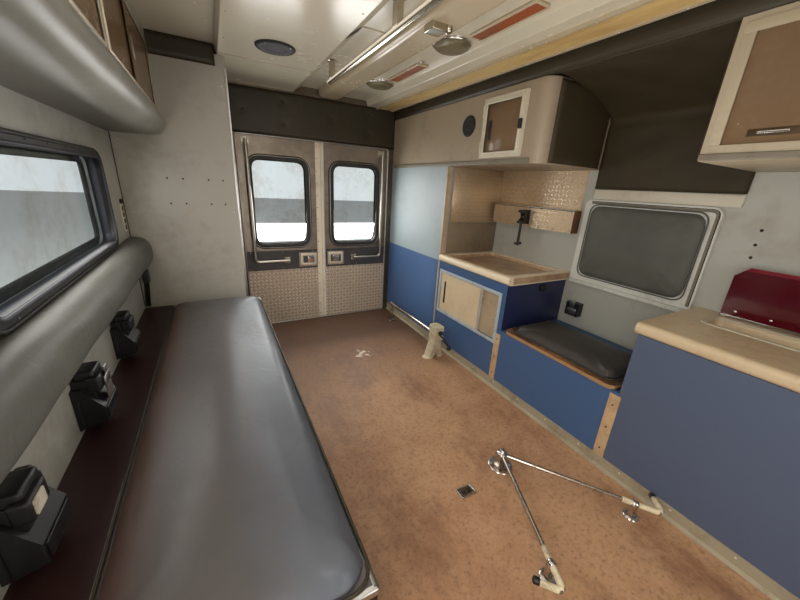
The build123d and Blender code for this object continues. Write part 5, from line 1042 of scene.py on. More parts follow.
# Painted shade: dark discs stand for the shade inside the screw holes.
lathed("closet_screw_holes", [(0.0046, 0.0003), (0.0040, 0.0008), (0.0030, 0.0004), (0.0, 0.0001)],
       [Vector((x, front, z)) for x, z in hole_places], (0, -1, 0), shade_and_dark_detail, "grey_laminate", 14)
bars("closet_corner_trim", [((-0.0015, -0.0016, 0.001), (0.0018, 0.010, 1.686)), ((-0.009, -0.0022, 0.001),
     (0.0010, 0.0006, 1.686))], satin_aluminium, "anodised_trim", 0.0008, at=(closet_high.x, front, DECK))
bars("closet_wall_seam", [((-1.1718, -0.0022, 0.430), (-1.1685, 0.0004, 1.686))], shade_and_dark_detail, "grey_laminate",
     0.0004, 1, at=(0, front, DECK))
SLOT_Y, SLOT_V = (1.340, 1.398), (0.852, 0.993)
bars("slotted_strip", [((-1.1721, SLOT_Y[0], DECK + SLOT_V[0]), (-1.1692, SLOT_Y[1], DECK + SLOT_V[1]))],
     cream_steel, "anodised_trim", 0.0008)
# Painted shade: dark bars stand for the shade in the strip's slots.
bars("slotted_strip_slots", [((-1.1696, SLOT_Y[0] + 0.016, SLOT_V[0] + 0.012 + 0.031 * step),
     (-1.1688, SLOT_Y[1] - 0.014, SLOT_V[0] + 0.034 + 0.031 * step)) for step in range(4)]
     + [((-1.1721, SLOT_Y[0] + 0.008, SLOT_V[1]), (-1.1650, SLOT_Y[1] - 0.006, SLOT_V[1] + 0.020))],
     shade_and_dark_detail, "anodised_trim", 0.0002, 1, at=(0, 0, DECK))
quilted("closet_top_pad", (closet_low.x + 0.001, front - 0.014, DECK + 1.687), (-0.675, front - 0.0004,
        DECK + 1.7835), (1, -1), [], 0.012, olive_vinyl, "brown_vinyl", 0.014)
lathed("closet_screws", domed(0.0045, 0.0024), [Vector((x, front - 0.0002, DECK + h))
       for x in (-1.140, -0.655) for h in (0.60, 0.95, 1.30, 1.60)], (0, -1, 0), bright_steel,
       "chrome_fittings", 12)

# Bench: a dark red-brown laminated box and ledge, a grey laminated lid edged with a bright strip, and one
# long vinyl cushion on it, worn brown along the ledge, with a painted blue-grey reflection along the aisle,
# swelled and creased.
red_laminate = coated("red_brown_laminate", (36, 13, 12), (54, 32, 24), cover=0.24, size=5.0, rough=0.42,
                      grains=240, depth=0.06, pebble=0.1)
dress(red_laminate, "bench_box")
birch, tree, shader = blank("birch_board")
where = add(tree, "TexCoord").outputs["Object"]
rings = add(tree, "TexWave", {"Vector": where, "Scale": 5.0, "Distortion": 7.0, "Detail": 3.0,
            "Detail Scale": 1.5}, bands_direction="X").outputs[1]
plies = add(tree, "TexWave", {"Vector": where, "Scale": 118.0}, bands_direction="Z").outputs[1]
face_up = add(tree, "SeparateXYZ", {0: add(tree, "NewGeometry").outputs["Normal"]}).outputs["Z"]
flat_face = above(tree, calc(tree, "ABSOLUTE", face_up), 0.7, 0.05)
stain = blend_colours(tree, rings, (98, 70, 50), (80, 56, 42))
bare = soiled(tree, stain, (196, 142, 88), 0.34, 3.0)
wood = bare.outputs["Colour"]
layers = blend_colours(tree, plies, (196, 158, 110), (132, 94, 62))
worn = soiled(tree, (1, 1, 1, 1), (176, 160, 140), 0.35, 12.0)
shown = add(tree, "Mix", {0: 1.0, 6: blend_colours(tree, flat_face, layers, wood),
            7: worn.outputs["Colour"]}, data_type="RGBA", blend_type="MULTIPLY")
feed(shader, {"Base Color": shown.outputs[2], "Roughness": 0.55, "Normal": raised(tree, rings, 0.0003, 0.3)})
dress(birch, "seat_lid")
bench_top = coated("bench_lid_laminate", (88, 82, 84), (104, 82, 64), cover=0.30, size=5.0, rough=0.40,
                   grains=240, depth=0.06, pebble=0.1)
dress(bench_top, "bench_lid")
lid_low, lid_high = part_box("bench_lid")
pad_low, pad_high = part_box("bench_cushion")
swollen("bench_cushion_pad", pad_low + Vector((0.012, 0.012, 0.0005)),
        pad_high - Vector((0.010, 0.010, 0.020)), 0.060, 0.024, 0.008, 0.024, bench_vinyl, "bench_cushion",
        "bench_seat")
lid_edge = rounded([(lid_low.x + 0.004, lid_high.y, lid_high.z), (lid_high.x + 0.001, lid_high.y,
                   lid_high.z), (lid_high.x + 0.001, lid_low.y - 0.001, lid_high.z),
                   (lid_low.x + 0.004, lid_low.y - 0.001, lid_high.z)], 0.004, False)
moulding("bench_lid_trim", lid_edge, [(-0.001, -0.018), (-0.0028, -0.016), (-0.003, -0.002),
         (-0.001, 0.0010), (0.008, 0.0011), (0.009, 0.0001), (-0.0002, 0.0), (-0.0002, -0.018)], (0, 0, 1),
         satin_aluminium, "anodised_trim", closed=False, body="bench_seat")
seam = frame_path(("z", pad_low.z + 0.007), (pad_low.x + 0.004, pad_high.x - 0.004),
                  (pad_low.y + 0.004, pad_high.y - 0.004), 0.058, 10)
moulding("bench_cushion_welt", seam, round_section(0.0036), (0, 0, 1), olive_vinyl, "grey_vinyl",
         body="bench_seat")

# Bolster: a half-round foam roll on the wall behind the bench, under smooth green-grey vinyl pulled round
# its ends, with soft pull creases.
def roll(name, box, sections, material, node, step=0.014, sag=0.004):
    """A long wall roll: its section drawn along the body with small creases, and closed ends pulled in."""
    low, high = box
    count = max(2, round((high.y - low.y) / step))
    rows = []
    for i in range(count + 1):
        y = low.y + (high.y - low.y) * i / count
        near_end = min(y - low.y, high.y - y)
        squeeze = 1 - 0.22 * max(0.0, 1 - near_end / 0.03) ** 2
        row = []
        for j, (x, z) in enumerate(sections):
            mid_z = (low.z + high.z) / 2
            shift = sag * (math.sin(y * 9.1 + j * 0.5) * 0.45 + math.sin(y * 23.0 + j * 0.9) * 0.25 - 0.5)
            x_out = low.x + (x - low.x) * squeeze + (shift if 0 < j < len(sections) - 1 else 0)
            row.append((max(low.x, min(high.x, x_out)), y, mid_z + (z - mid_z) * squeeze))
        rows.append(row)
    piece = skinned(name, rows, material, "grey_vinyl")
    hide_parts(node)


low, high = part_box("bolster")
half = (high.z - low.z) / 2
bulge = high.x - low.x
outline = []
for step in range(17):
    turn = math.pi * (step / 16 - 0.5)
    reach_out = abs(math.cos(turn)) ** 0.62
    rise = math.copysign(abs(math.sin(turn)) ** 0.80, math.sin(turn))
    outline.append((low.x + bulge * reach_out, (low.z + high.z) / 2 + half * rise))
roll("bolster_roll", (low, high), outline, green_vinyl, "bolster")

# Belt reels: black moulded housings screwed over the ledge, one with a blank label tab and one with a belt
# tongue, and a buckle stalk by the closet.
reel_black = coated("reel_black", (17, 17, 18), (58, 52, 46), cover=0.20, size=16.0, rough=0.42, grains=700,
                    depth=0.06)
dress(reel_black, "belt_retractors")
pale_tab = coated("blank_tab", (196, 190, 174), (150, 134, 106), cover=0.4, size=20.0, rough=0.6, grains=900,
                  depth=0.03)
WALL_X = -1.172
BELT_Z = DECK + 0.428
for label, y in (("near", -0.095), ("middle", 0.345), ("far", 0.800)):
    bars(label + "_reel_cover", [((0.0672, -0.052, 0.020), (0.0712, 0.052, 0.060)), ((0.004, -0.064, 0.006),
         (0.016, -0.059, 0.10)), ((0.004, 0.059, 0.006), (0.016, 0.064, 0.10)), ((0.004, -0.046, 0.090),
         (0.052, 0.046, 0.152))], reel_black, "black_plastic", 0.003, 3, at=(WALL_X, y, BELT_Z))
    bars(label + "_reel_top", [((0.010, -0.040, 0.140), (0.056, 0.034, 0.176)), ((0.034, -0.052, 0.112),
         (0.068, 0.018, 0.160)), ((0.012, 0.020, 0.120), (0.040, 0.058, 0.164))], reel_black,
         "black_plastic", 0.009, 4, at=(WALL_X, y, BELT_Z))
webbing = coated("belt_webbing", (84, 82, 78), (112, 100, 82), cover=0.3, size=26.0, rough=0.8, grains=1100,
                 depth=0.12, pebble=0.0)
bars("belt_webbing_end", [((0.070, 0.320, 0.070), (0.0735, 0.370, 0.122))], webbing, "grey_vinyl", 0.001,
     at=(WALL_X, 0, BELT_Z))
bars("belt_tongue", [((0.0700, 0.318, 0.118), (0.0745, 0.372, 0.146)), ((0.0710, 0.333, 0.144),
     (0.0740, 0.357, 0.172))], satin_aluminium, "chrome_fittings", 0.0015, at=(WALL_X, 0, BELT_Z))
bars("near_reel_tab", [((0.0670, -0.140, 0.122), (0.0700, -0.100, 0.154))], pale_tab, "black_plastic", 0.004,
     3, at=(WALL_X, 0, BELT_Z))
stalk = rounded([(WALL_X + 0.024, 1.386, DECK + 0.430), (WALL_X + 0.040, 1.335, DECK + 0.525),
                (WALL_X + 0.058, 1.272, DECK + 0.618)], 0.05, False)
moulding("buckle_stalk", stalk, [(-0.012, -0.0030), (0.012, -0.0030), (0.012, 0.0030), (-0.012, 0.0030)],
         (0, -1, 0), reel_black, "black_plastic", closed=False)
bars("buckle_head", [((0.046, 1.236, 0.605), (0.076, 1.284, 0.668))], reel_black, "black_plastic", 0.006, 3,
     at=(WALL_X, 0, DECK))

# Overhead cabinet: grey-white laminate with bright sliding-door tracks and smoked acrylic panes, and a fat
# padded nose along its foot that shields heads.
dress(pale_laminate, "overhead_cabinet")
smoked, tree, shader = blank("smoked_acrylic")
haze = soiled(tree, (132, 108, 83), (148, 124, 98), 0.30, 5.0)
pale = soiled(tree, (203, 184, 153), (160, 134, 102), 0.30, 6.0)
feed(shader, {"Base Color": blend_colours(tree, above(tree, axis_of(tree, "Z"), DECK + 0.8),
     pale.outputs["Colour"], haze.outputs["Colour"]), "Roughness": blend_values(tree, haze.outputs["Mask"],
     0.20, 0.40), "Transmission Weight": 0.30, "IOR": 1.2})
dress(smoked, "fixed_panes", "overhead_pane_front", "overhead_pane_rear", "counter_pane", "upper_pane")
low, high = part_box("overhead_cabinet")
bay_length = (high.y - low.y - 3 * 0.045) / 2
for number in (0, 1):
    start = low.y + 0.045 + number * (bay_length + 0.045)
    ring = frame_path(("x", high.x), (start, start + bay_length), (DECK + 1.450, DECK + 1.718), 0.004, 2)
    moulding(f"overhead_track_{number + 1}", ring, [(-0.006, 0.0), (-0.006, 0.0030), (-0.001, 0.0035),
             (0.001, 0.003), (0.001, -0.004), (-0.0005, -0.004), (-0.0005, 0.0)], (1, 0, 0), cream_steel,
             "anodised_trim")
for name, body in (("overhead_pane_front", "overhead_slider_front"), ("overhead_pane_rear",
                   "overhead_slider_rear")):
    pane_low, pane_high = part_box(name)
    y = pane_low.y + 0.05
    bars(name + "_pull", [((-0.0005, -0.012, pane_low.z + 0.10), (0.0015, 0.012, pane_high.z - 0.09))],
         satin_aluminium, "anodised_trim", 0.0008, body=body, at=(pane_high.x, y, 0))
low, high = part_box("overhead_nose")
section = [(low.x, low.z), (high.x - 0.090, low.z + 0.002), (high.x - 0.050, low.z + 0.004),
           (high.x - 0.024, low.z + 0.014), (high.x - 0.008, low.z + 0.034), (high.x - 0.001, low.z + 0.056),
           (high.x - 0.003, low.z + 0.078), (high.x - 0.012, low.z + 0.098), (high.x - 0.0295, high.z),
           (high.x - 0.0295, low.z + 0.0712), (low.x, low.z + 0.0712)]
# The nose is covered in the lighter copy of the vinyl, painted light for the daylight on it.
roll("overhead_nose_roll", (low, high), section, nose_vinyl_painted_light, "overhead_nose", 0.012, 0.0028)

# Street wall liner and rear locker: white laminate on the wall; the tall locker is grey-white above and blue
# below a line at counter height, with a cream strip up its corner, and the kick trim is screwed along the
# cabinets' foot.
BLUE = shade(64, 93, 134)
BLUE_SOIL = shade(84, 90, 102)
GREY_WHITE = shade(142, 155, 160)


def two_tone(name, line, blue=BLUE):
    """Cabinet laminate, blue below a height and grey-white above it, scuffed near the floor."""
    made, tree, shader = blank(name)
    up = axis_of(tree, "Z")
    low_down = add(tree, "MapRange", {"Value": up, "From Min": DECK + 0.5, "From Max": DECK, "To Min": 0.05,
                   "To Max": 0.24}).outputs[0]
    low_tone = soiled(tree, blue, BLUE_SOIL, low_down, 4.5)
    high_tone = soiled(tree, GREY_WHITE, (128, 122, 110), 0.20, 3.2)
    high_up = above(tree, up, line)
    feed(shader, {"Base Color": blend_colours(tree, high_up, low_tone.outputs["Colour"],
         high_tone.outputs["Colour"])})
    scuffs = blend_values(tree, high_up, low_tone.outputs["Mask"], high_tone.outputs["Mask"])
    feed(shader, {"Roughness": blend_values(tree, scuffs, 0.48, 0.64)})
    peel = grained(tree, 220.0, 0.1)
    feed(shader, {"Normal": raised(tree, peel, 0.00012, 0.6)})
    return made


wall_white = coated("wall_white_laminate", (172, 172, 163), (132, 122, 102), cover=0.26, size=2.4,
                    rough=0.34, grains=220, depth=0.08, pebble=0.1)
dress(wall_white, "street_liner")
LINE_Z = DECK + 0.654
dress(two_tone("locker_laminate", LINE_Z), "street_locker")
blue_laminate = two_tone("blue_laminate", DECK + 3.0)
dress(blue_laminate, "seat_box")
navy_laminate = two_tone("navy_laminate", DECK + 3.0, shade(80, 92, 116))
dress(navy_laminate, "front_counter")
tan_edge = coated("tan_edge_band", (196, 166, 128), (140, 108, 78), cover=0.35, size=9.0, rough=0.46,
                  grains=300, depth=0.08)
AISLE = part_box("street_locker")[0].x
kick_high = DECK + 0.057
locker_low, locker_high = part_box("street_locker")
cream_edge = coated("cream_edge_strip", (186, 168, 144), (140, 118, 92), cover=0.3, size=9.0, rough=0.46,
                    grains=300, depth=0.06)
bars("locker_corner_trim", [((-0.0022, -0.0016, kick_high), (0.014, 0.0002, locker_high.z - 0.001)),
     ((-0.0022, -0.0016, kick_high), (0.0002, 0.014, locker_high.z - 0.001))], cream_edge, "anodised_trim",
     0.0006, at=(AISLE, locker_low.y, 0))
kick_screws = [Vector((AISLE - 0.0042, -1.85 + 0.19 * step, DECK + 0.042)) for step in range(20)]
lathed("kick_trim_screws", domed(0.0042, 0.0024), kick_screws, (-1, 0, 0), cream_steel, "anodised_trim", 10)

# Upper rear cabinet: warm grey laminate over a plywood box with a rounded end, a grey rail along its foot, a
# black speaker, and a small white-framed door with a smoked pane and a black catch.
warm_laminate = coated("warm_grey_laminate", (152, 138, 118), (118, 102, 80), cover=0.28, size=2.8,
                       rough=0.36, grains=220, depth=0.08, pebble=0.1)
dress(warm_laminate, "upper_rear_cabinet")
up_low, up_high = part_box("upper_rear_cabinet")
rail_grey = coated("grey_rail", (112, 106, 90), (84, 76, 62), cover=0.3, size=6.0, rough=0.4, grains=300,
                   depth=0.06)
bars("upper_rear_rail", [((-0.010, up_low.y + 0.058, 0.001), (0.0002, up_high.y - 0.001, 0.026))], rail_grey,
     "grey_laminate", 0.004, 3, at=(up_low.x, 0, up_low.z))
speaker = Vector((up_low.x, 0.943, DECK + 1.510))
lathed("side_speaker", [(0.058, 0.0), (0.058, 0.004), (0.052, 0.009), (0.046, 0.009), (0.036, 0.005),
       (0.016, 0.009), (0.0, 0.010)], [speaker], (-1, 0, 0), perforated, "black_plastic", 36)
white_frame = coated("white_frame", (196, 189, 170), (150, 136, 112), cover=0.24, size=8.0, rough=0.32,
                     grains=220, depth=0.06, pebble=0.1)
dress(white_frame, "small_door")
face_x = up_low.x - 0.0163
D_U, D_V = (0.503, 0.803), (DECK + 1.325, DECK + 1.625)
inner = frame_path(("x", face_x), grown(D_U, -0.026), grown(D_V, -0.026), 0.006, 3)
moulding("small_door_bead", inner, [(-0.004, 0.0), (-0.003, -0.004), (0.004, -0.005), (0.007, 0.004),
         (0.007, 0.010), (-0.004, 0.010)], (1, 0, 0), white_frame, "white_liner", body="small_cabinet_door")
bars("small_door_pane", [((face_x + 0.006, D_U[0] + 0.028, D_V[0] + 0.028), (face_x + 0.010, D_U[1] - 0.028,
     D_V[1] - 0.028))], smoked, "smoked_acrylic", 0.0005, 1, body="small_cabinet_door")
bars("small_door_stay", [((0.0035, -0.070, D_V[0] + 0.090), (0.0065, -0.046, D_V[1] - 0.110))], reel_black,
     "black_plastic", 0.001, body="small_cabinet_door", at=(face_x, D_U[1], 0))
bars("small_door_catch", [((-0.014, 0.006, 0.126), (0.0006, 0.024, 0.172))], reel_black, "black_plastic",
     0.004, 3, body="small_cabinet_door", at=(face_x, D_U[0], D_V[0]))

# Alcove over the single seat: one curved pad that runs down the wall and comes forward under the ceiling,
# and flat pads on the ends of the two cabinets, all in dark olive vinyl over foam.
alcove_vinyl = vinyl("alcove_vinyl", (58, 50, 33), (84, 72, 50), cover=0.16, size=2.2, rough=0.62,
                     creases=0.0007, crease_size=4.0)
al_low, al_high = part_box("alcove_pads")
count_y, rows = 46, []
arc_start, arc_end = Vector((al_low.x + 0.001, 0, DECK + 1.660)), Vector((al_high.x - 0.024, 0,
                                                                         DECK + 1.536))
run, drop = arc_end.x - arc_start.x, arc_start.z - arc_end.z
arc_r = (run * run + drop * drop) / (2 * drop)
profile = [Vector((al_low.x + 0.001, 0, al_high.z - 0.001))]
for step in range(25):
    reach = run * step / 24
    profile.append(Vector((arc_start.x + reach, 0,
                   arc_start.z - (arc_r - math.sqrt(arc_r ** 2 - reach ** 2)))))
for step in range(1, 17):
    profile.append(Vector((arc_end.x, 0, arc_end.z - (arc_end.z - DECK - 1.192) * step / 16)))
profile += [Vector((al_high.x - 0.0005, 0, DECK + 1.192)),
            Vector((al_high.x - 0.0005, 0, al_high.z - 0.001))]
for i in range(count_y + 1):
    y = al_low.y + 0.001 + (al_high.y - al_low.y - 0.002) * i / count_y
    near_end = min(i, count_y - i) / count_y * (al_high.y - al_low.y)
    rolled = 0.012 * max(0.0, 1 - near_end / 0.020) ** 2
    ring = []
    for j, point in enumerate(profile):
        place = Vector((point.x, y, point.z))
        if 1 <= j <= 25:
            place.z += rolled + 0.0030 * math.sin(j * 0.5) * math.sin(i * 0.31)
        if 26 <= j <= 41:
            seam_dip = 0.007 * math.exp(-((point.z - DECK - 1.515) / 0.012) ** 2)
            place.x += rolled + seam_dip + 0.0024 * math.sin(j * 0.9) * math.sin(i * 0.27)
        ring.append(place)
    rows.append(ring)
alcove = skinned("alcove_pad", rows, alcove_vinyl, "brown_vinyl")
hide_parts("alcove_pads")
moulding("alcove_welt", [Vector((al_low.x + 0.002, al_low.y + 0.002, DECK + 1.6600)),
         Vector((al_low.x + 0.002, al_high.y - 0.002, DECK + 1.6600))], round_section(0.0042), (-1, 0, 0),
         alcove_vinyl, "brown_vinyl", closed=False)
for name, y, way, x_low, z_low, z_high in (
    ("upper_rear_end_pad", up_low.y, -1, up_low.x + 0.064, DECK + 1.296, DECK + 1.655),
    ("upper_front_end_pad", -0.254, 1, AISLE + 0.004, DECK + 1.282, DECK + 1.655),
):
    quilted(name, (x_low, min(y, y + way * 0.012), z_low), (1.108, max(y, y + way * 0.012), z_high),
            (1, way), [], 0.012, alcove_vinyl, "brown_vinyl", 0.016)
bars("alcove_foot_strip", [((-0.0095, al_low.y + 0.002, 1.138), (-0.0003, al_high.y - 0.002, 1.1895))],
     white_frame, "white_liner", 0.003, 3, at=(al_high.x, 0, DECK))

# Niche over the rear counter: bright tread plate on the back and side walls, a long plate box riveted to the
# wall, a beige side, and a black clamp that holds a pole by a screw.
dress(tread_plate("tread_plate_wall", "Y", "Z", 0.026, (218, 194, 160), (170, 144, 112), 0.3),
      "niche_plates")
plate_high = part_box("niche_plates")[1]
side_plate = tread_plate("tread_plate_side", "X", "Z", 0.026, (218, 194, 160), (170, 144, 112), 0.3)
side_beige = coated("side_beige", (134, 118, 98), (104, 88, 70), cover=0.3, size=5.0, rough=0.45, grains=220,
                    depth=0.08, pebble=0.1)
locker_face = locker_low.y
bars("niche_side_facing", [((AISLE + 0.0545, -0.0050, 0.926), (plate_high.x - 0.004, -0.0030, 1.2885))],
     side_plate, "tread_plate", 0.0005, 1, at=(0, locker_face, DECK))
bars("niche_side_beige", [((AISLE + 0.016, -0.0016, 0.703), (plate_high.x - 0.002, -0.0002, 0.924))],
     side_beige, "beige_laminate", 0.0004, 1, at=(0, locker_face, DECK))
bars("niche_edge_strip", [((0.0145, -0.0046, DECK + 0.703), (0.040, -0.0003, locker_high.z - 0.003))],
     cream_edge, "beige_laminate", 0.0012, at=(AISLE, locker_face, 0))
box_front = plate_high.x - 0.065
box_rivets = [Vector((box_front, y, z)) for y in (0.452, 0.560, 0.668, 0.776, 0.884, 0.992, 1.080)
              for z in (DECK + 0.945, DECK + 1.058)]
lathed("plate_box_rivets", RIVET, box_rivets, (-1, 0, 0), bright_steel, "tread_plate", 12)
bars("plate_box_lip", [((-0.0004, 0.4395, 1.0630), (0.010, 1.0885, 1.0685))], satin_aluminium, "tread_plate",
     0.001, at=(box_front, 0, DECK))
bars("plate_seams", [((plate_high.x - 0.0012, 0.884, 1.069), (plate_high.x + 0.0004, 0.888, 1.286)),
     ((box_front - 0.0009, 0.4395, 1.0605), (box_front + 0.0006, 1.0885, 1.0632))], shade_and_dark_detail, "tread_plate",
     0.0002, 1, at=(0, 0, DECK))
rusty = coated("rusty_end", (82, 60, 44), (124, 74, 44), cover=0.5, size=24.0, rough=0.8, grains=400,
               depth=0.1)
bars("plate_box_end", [((box_front + 0.001, 0.4372, DECK + 0.937), (plate_high.x - 0.002, 0.4396,
     DECK + 1.065))], rusty, "tread_plate", 0.0004, 1)
dress(reel_black, "pole_clamp")
clamp_low, clamp_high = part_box("pole_clamp")
screw_x, CLAMP_Y = 1.0327, (clamp_low.y + clamp_high.y) / 2
threads = []
for step in range(64):
    turn = step * 0.9
    threads.append(Vector((screw_x + 0.0086 * math.cos(turn), CLAMP_Y + 0.0086 * math.sin(turn),
                   clamp_low.z + 0.030 + step * 0.0013)))
moulding("clamp_thread", threads, round_section(0.0012, 5), (0, 0, 1), reel_black, "black_plastic",
         closed=False)
lathed("clamp_lever_ends", [(0.0, 0.010), (0.007, 0.008), (0.009, 0.002), (0.007, -0.005), (0.0, -0.007)],
       [Vector((screw_x + dx, CLAMP_Y, clamp_low.z + 0.012)) for dx in (-0.024, 0.024)], (0, 0, 1),
       reel_black, "black_plastic", 16)
bars("clamp_backing", [((-0.004, -0.030, 0.954), (0.0004, 0.030, 1.045))], reel_black, "black_plastic",
     0.002, at=(clamp_high.x, CLAMP_Y, DECK))

# Rear counter: a blue base whose front bay has tan sliding panes in a pale blue-grey frame, a navy side with
# a black latch, and a cream rimmed tray top with a worn brown floor.
counter_finish, tree, shader = blank("rear_counter_laminate")
side_on = calc(tree, "ABSOLUTE", add(tree, "SeparateXYZ",
               {0: add(tree, "NewGeometry").outputs["Normal"]}).outputs["Y"])
navy = soiled(tree, (36, 44, 80), (62, 64, 84), 0.16, 5.0)
blue = soiled(tree, BLUE, BLUE_SOIL, 0.18, 4.5)
at_side = above(tree, side_on, 0.6, 0.05)
feed(shader, {"Base Color": blend_colours(tree, at_side, blue.outputs["Colour"], navy.outputs["Colour"]),
     "Roughness": blend_values(tree, blue.outputs["Mask"], 0.34, 0.62)})
dress(counter_finish, "rear_counter")
counter_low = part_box("rear_counter")[0]
BAY_U = (0.493, 1.073)
BAY_V = (DECK + 0.300, DECK + 0.580)
white_track = coated("white_track", (174, 186, 193), (136, 128, 116), cover=0.32, size=8.0, rough=0.4,
                     grains=220, depth=0.06, pebble=0.1)


def square_frame(name, face_x, u, v, width, rise, material, slot):
    """Four flat bars round an opening in a wall that faces the aisle."""
    near, far = face_x - rise, face_x + 0.0002
    bars(name, [((near, u[0] - width, v[1] - 0.001), (far, u[1] + width, v[1] + width)),
         ((near, u[0] - width, v[0] - width), (far, u[1] + width, v[0] + 0.001)),
         ((near + 0.0005, u[0] - width, v[0]), (far, u[0] + 0.001, v[1])),
         ((near + 0.0005, u[1] - 0.001, v[0]), (far, u[1] + width, v[1]))], material, slot, 0.001)


square_frame("counter_bay_frame", AISLE, BAY_U, BAY_V, 0.019, 0.0055, white_track, "anodised_trim")
bars("counter_bay_mullion", [((AISLE - 0.0030, y, BAY_V[0]), (AISLE + 0.0016, y + 0.004, BAY_V[1]))
     for y in (0.632, 0.650)], white_track, "anodised_trim", 0.0008)
tan_pane, tree, shader = blank("tan_pane")
dust = soiled(tree, (216, 197, 164), (170, 142, 110), 0.30, 6.0)
feed(shader, {"Base Color": dust.outputs["Colour"], "Roughness": blend_values(tree, dust.outputs["Mask"],
     0.24, 0.42)})
dress(tan_pane, "counter_pane")
pane_low, pane_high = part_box("counter_pane")
bars("counter_pane_pull", [((-0.0012, -0.060, pane_low.z + 0.06), (0.0004, -0.042, pane_high.z - 0.06))],
     reel_black, "anodised_trim", 0.0006, body="counter_slider", at=(pane_low.x, pane_high.y, 0))
tray_finish, tree, shader = blank("tray_laminate")
sunk = calc(tree, "SUBTRACT", 1.0, above(tree, axis_of(tree, "Z"), DECK + 0.6985, 0.0018))
rim = soiled(tree, (236, 220, 192), (186, 160, 128), 0.12, 6.0)
foot = soiled(tree, (190, 160, 128), (134, 98, 70), 0.38, 7.0)
inboard = calc(tree, "MULTIPLY", sunk, above(tree, axis_of(tree, "X"), AISLE + 0.024))
inboard = calc(tree, "MULTIPLY", inboard, above(tree, axis_of(tree, "Z"), DECK + 0.660))
feed(shader, {"Base Color": blend_colours(tree, inboard, rim.outputs["Colour"], foot.outputs["Colour"]),
     "Roughness": blend_values(tree, rim.outputs["Mask"], 0.34, 0.56)})
dress(tray_finish, "rear_counter_top")
bars("counter_side_latch", [((0.905, -0.012, 0.600), (0.960, 0.0003, 0.632))], reel_black, "black_plastic",
     0.004, 3, at=(0, counter_low.y, DECK))

# Single seat: blue box with two screwed tan battens, a stained birch lid, one swelled grey cushion, and a
# white folding back panel on a riveted piano hinge, with a grey track round it and a big grey pad.
for name, y0, y1, top in (("rear", 0.4375, 0.480, 0.352), ("front", -0.2515, -0.206, 0.368)):
    bars(f"seat_batten_{name}", [((AISLE - 0.0036, y0, kick_high), (AISLE + 0.0002, y1, DECK + top))],
         tan_edge, "beige_laminate", 0.0008)
    lathed(f"seat_batten_screws_{name}", domed(0.0042, 0.0016),
           [Vector((AISLE - 0.0034, (y0 + y1) / 2, DECK + 0.095 + 0.112 * step)) for step in range(3)],
           (-1, 0, 0), shade_and_dark_detail, "anodised_trim", 12)
cush_low, cush_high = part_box("seat_cushion")
swollen("seat_cushion_pad", cush_low + Vector((0.012, 0.012, 0.0005)),
        cush_high - Vector((0.012, 0.012, 0.022)), 0.050, 0.024, 0.006, 0.026, grey_vinyl, "seat_cushion",
        "single_seat")
welt = frame_path(("z", cush_low.z + 0.007), (cush_low.x + 0.003, cush_high.x - 0.003),
                  (cush_low.y + 0.003, cush_high.y - 0.003), 0.048)
moulding("seat_cushion_welt", welt, round_section(0.0034), (0, 0, 1), grey_vinyl, "grey_vinyl",
         body="single_seat")
back_low, back_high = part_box("seat_back")
BACK_FACE = back_high.x - 0.016
panel_white = coated("panel_white", (208, 209, 201), (156, 148, 132), cover=0.22, size=5.0, rough=0.40,
                     grains=220, depth=0.06, pebble=0.1)
dress(panel_white, "seat_back")
for label, inset, half, material in (("outer", 0.0045, 0.0024, panel_white), ("line", 0.0095, 0.0018,
                                     shade_and_dark_detail),
                                     ("inner", 0.0170, 0.0050, rail_grey)):
    track = rounded([(BACK_FACE, back_low.y + inset, DECK + 0.690), (BACK_FACE, back_low.y + inset,
                    back_high.z - inset), (BACK_FACE, back_high.y - 0.036, back_high.z - inset)],
                    0.040 - inset, False, 8)
    moulding(f"seat_back_track_{label}", track, [(-half, -0.0004), (-half, 0.0016), (half, 0.0016),
             (half, -0.0004)], (-1, 0, 0), material, "anodised_trim", closed=False, smooth=False,
             body="single_seat_back")
p_low, p_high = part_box("seat_back_pad")
swollen("seat_back_pad_soft", p_low + Vector((0.016, 0.010, 0.010)), p_high - Vector((0.0005, 0.010, 0.010)),
        0.052, 0.018, 0.006, 0.018, green_vinyl, "seat_back_pad", "single_seat_back", "X", 1)
pad_welt = frame_path(("x", p_high.x - 0.006), (p_low.y + 0.004, p_high.y - 0.004),
                      (p_low.z + 0.004, p_high.z - 0.004), 0.052)
moulding("seat_back_pad_welt", pad_welt, round_section(0.0034), (-1, 0, 0), green_vinyl, "grey_vinyl",
         body="single_seat_back")
hinge_rivets = [Vector((BACK_FACE + 0.0002, back_low.y + 0.030 + 0.0624 * step, DECK + 0.692))
                for step in range(10)]
lathed("seat_back_hinge_rivets", domed(0.0036, 0.002), hinge_rivets, (-1, 0, 0), panel_white,
       "anodised_trim", 10, body="single_seat_back")
rail_rivets = [Vector((BACK_FACE - 0.0038, back_low.y + 0.030 + 0.0624 * step, DECK + 0.662))
               for step in range(10)]
bars("seat_back_hinge_leaf", [((-0.0041, back_low.y + 0.002, 0.6535), (-0.0018, back_high.y - 0.002,
     0.6725))], panel_white, "anodised_trim", 0.0006, at=(BACK_FACE, 0, DECK))
lathed("hinge_rail_rivets", domed(0.0036, 0.002), rail_rivets, (-1, 0, 0), satin_aluminium, "anodised_trim",
       10)
wall_reel = Vector((1.0947, 0.335, DECK + 0.495))
bars("seat_reel_tongue", [((-0.010, 0.322, 0.012), (0.006, 0.348, 0.052)), ((-0.0030, 0.305, -0.030),
     (0.001, 0.365, 0.006))], satin_aluminium, "chrome_fittings", 0.002, at=(wall_reel.x, 0, wall_reel.z))

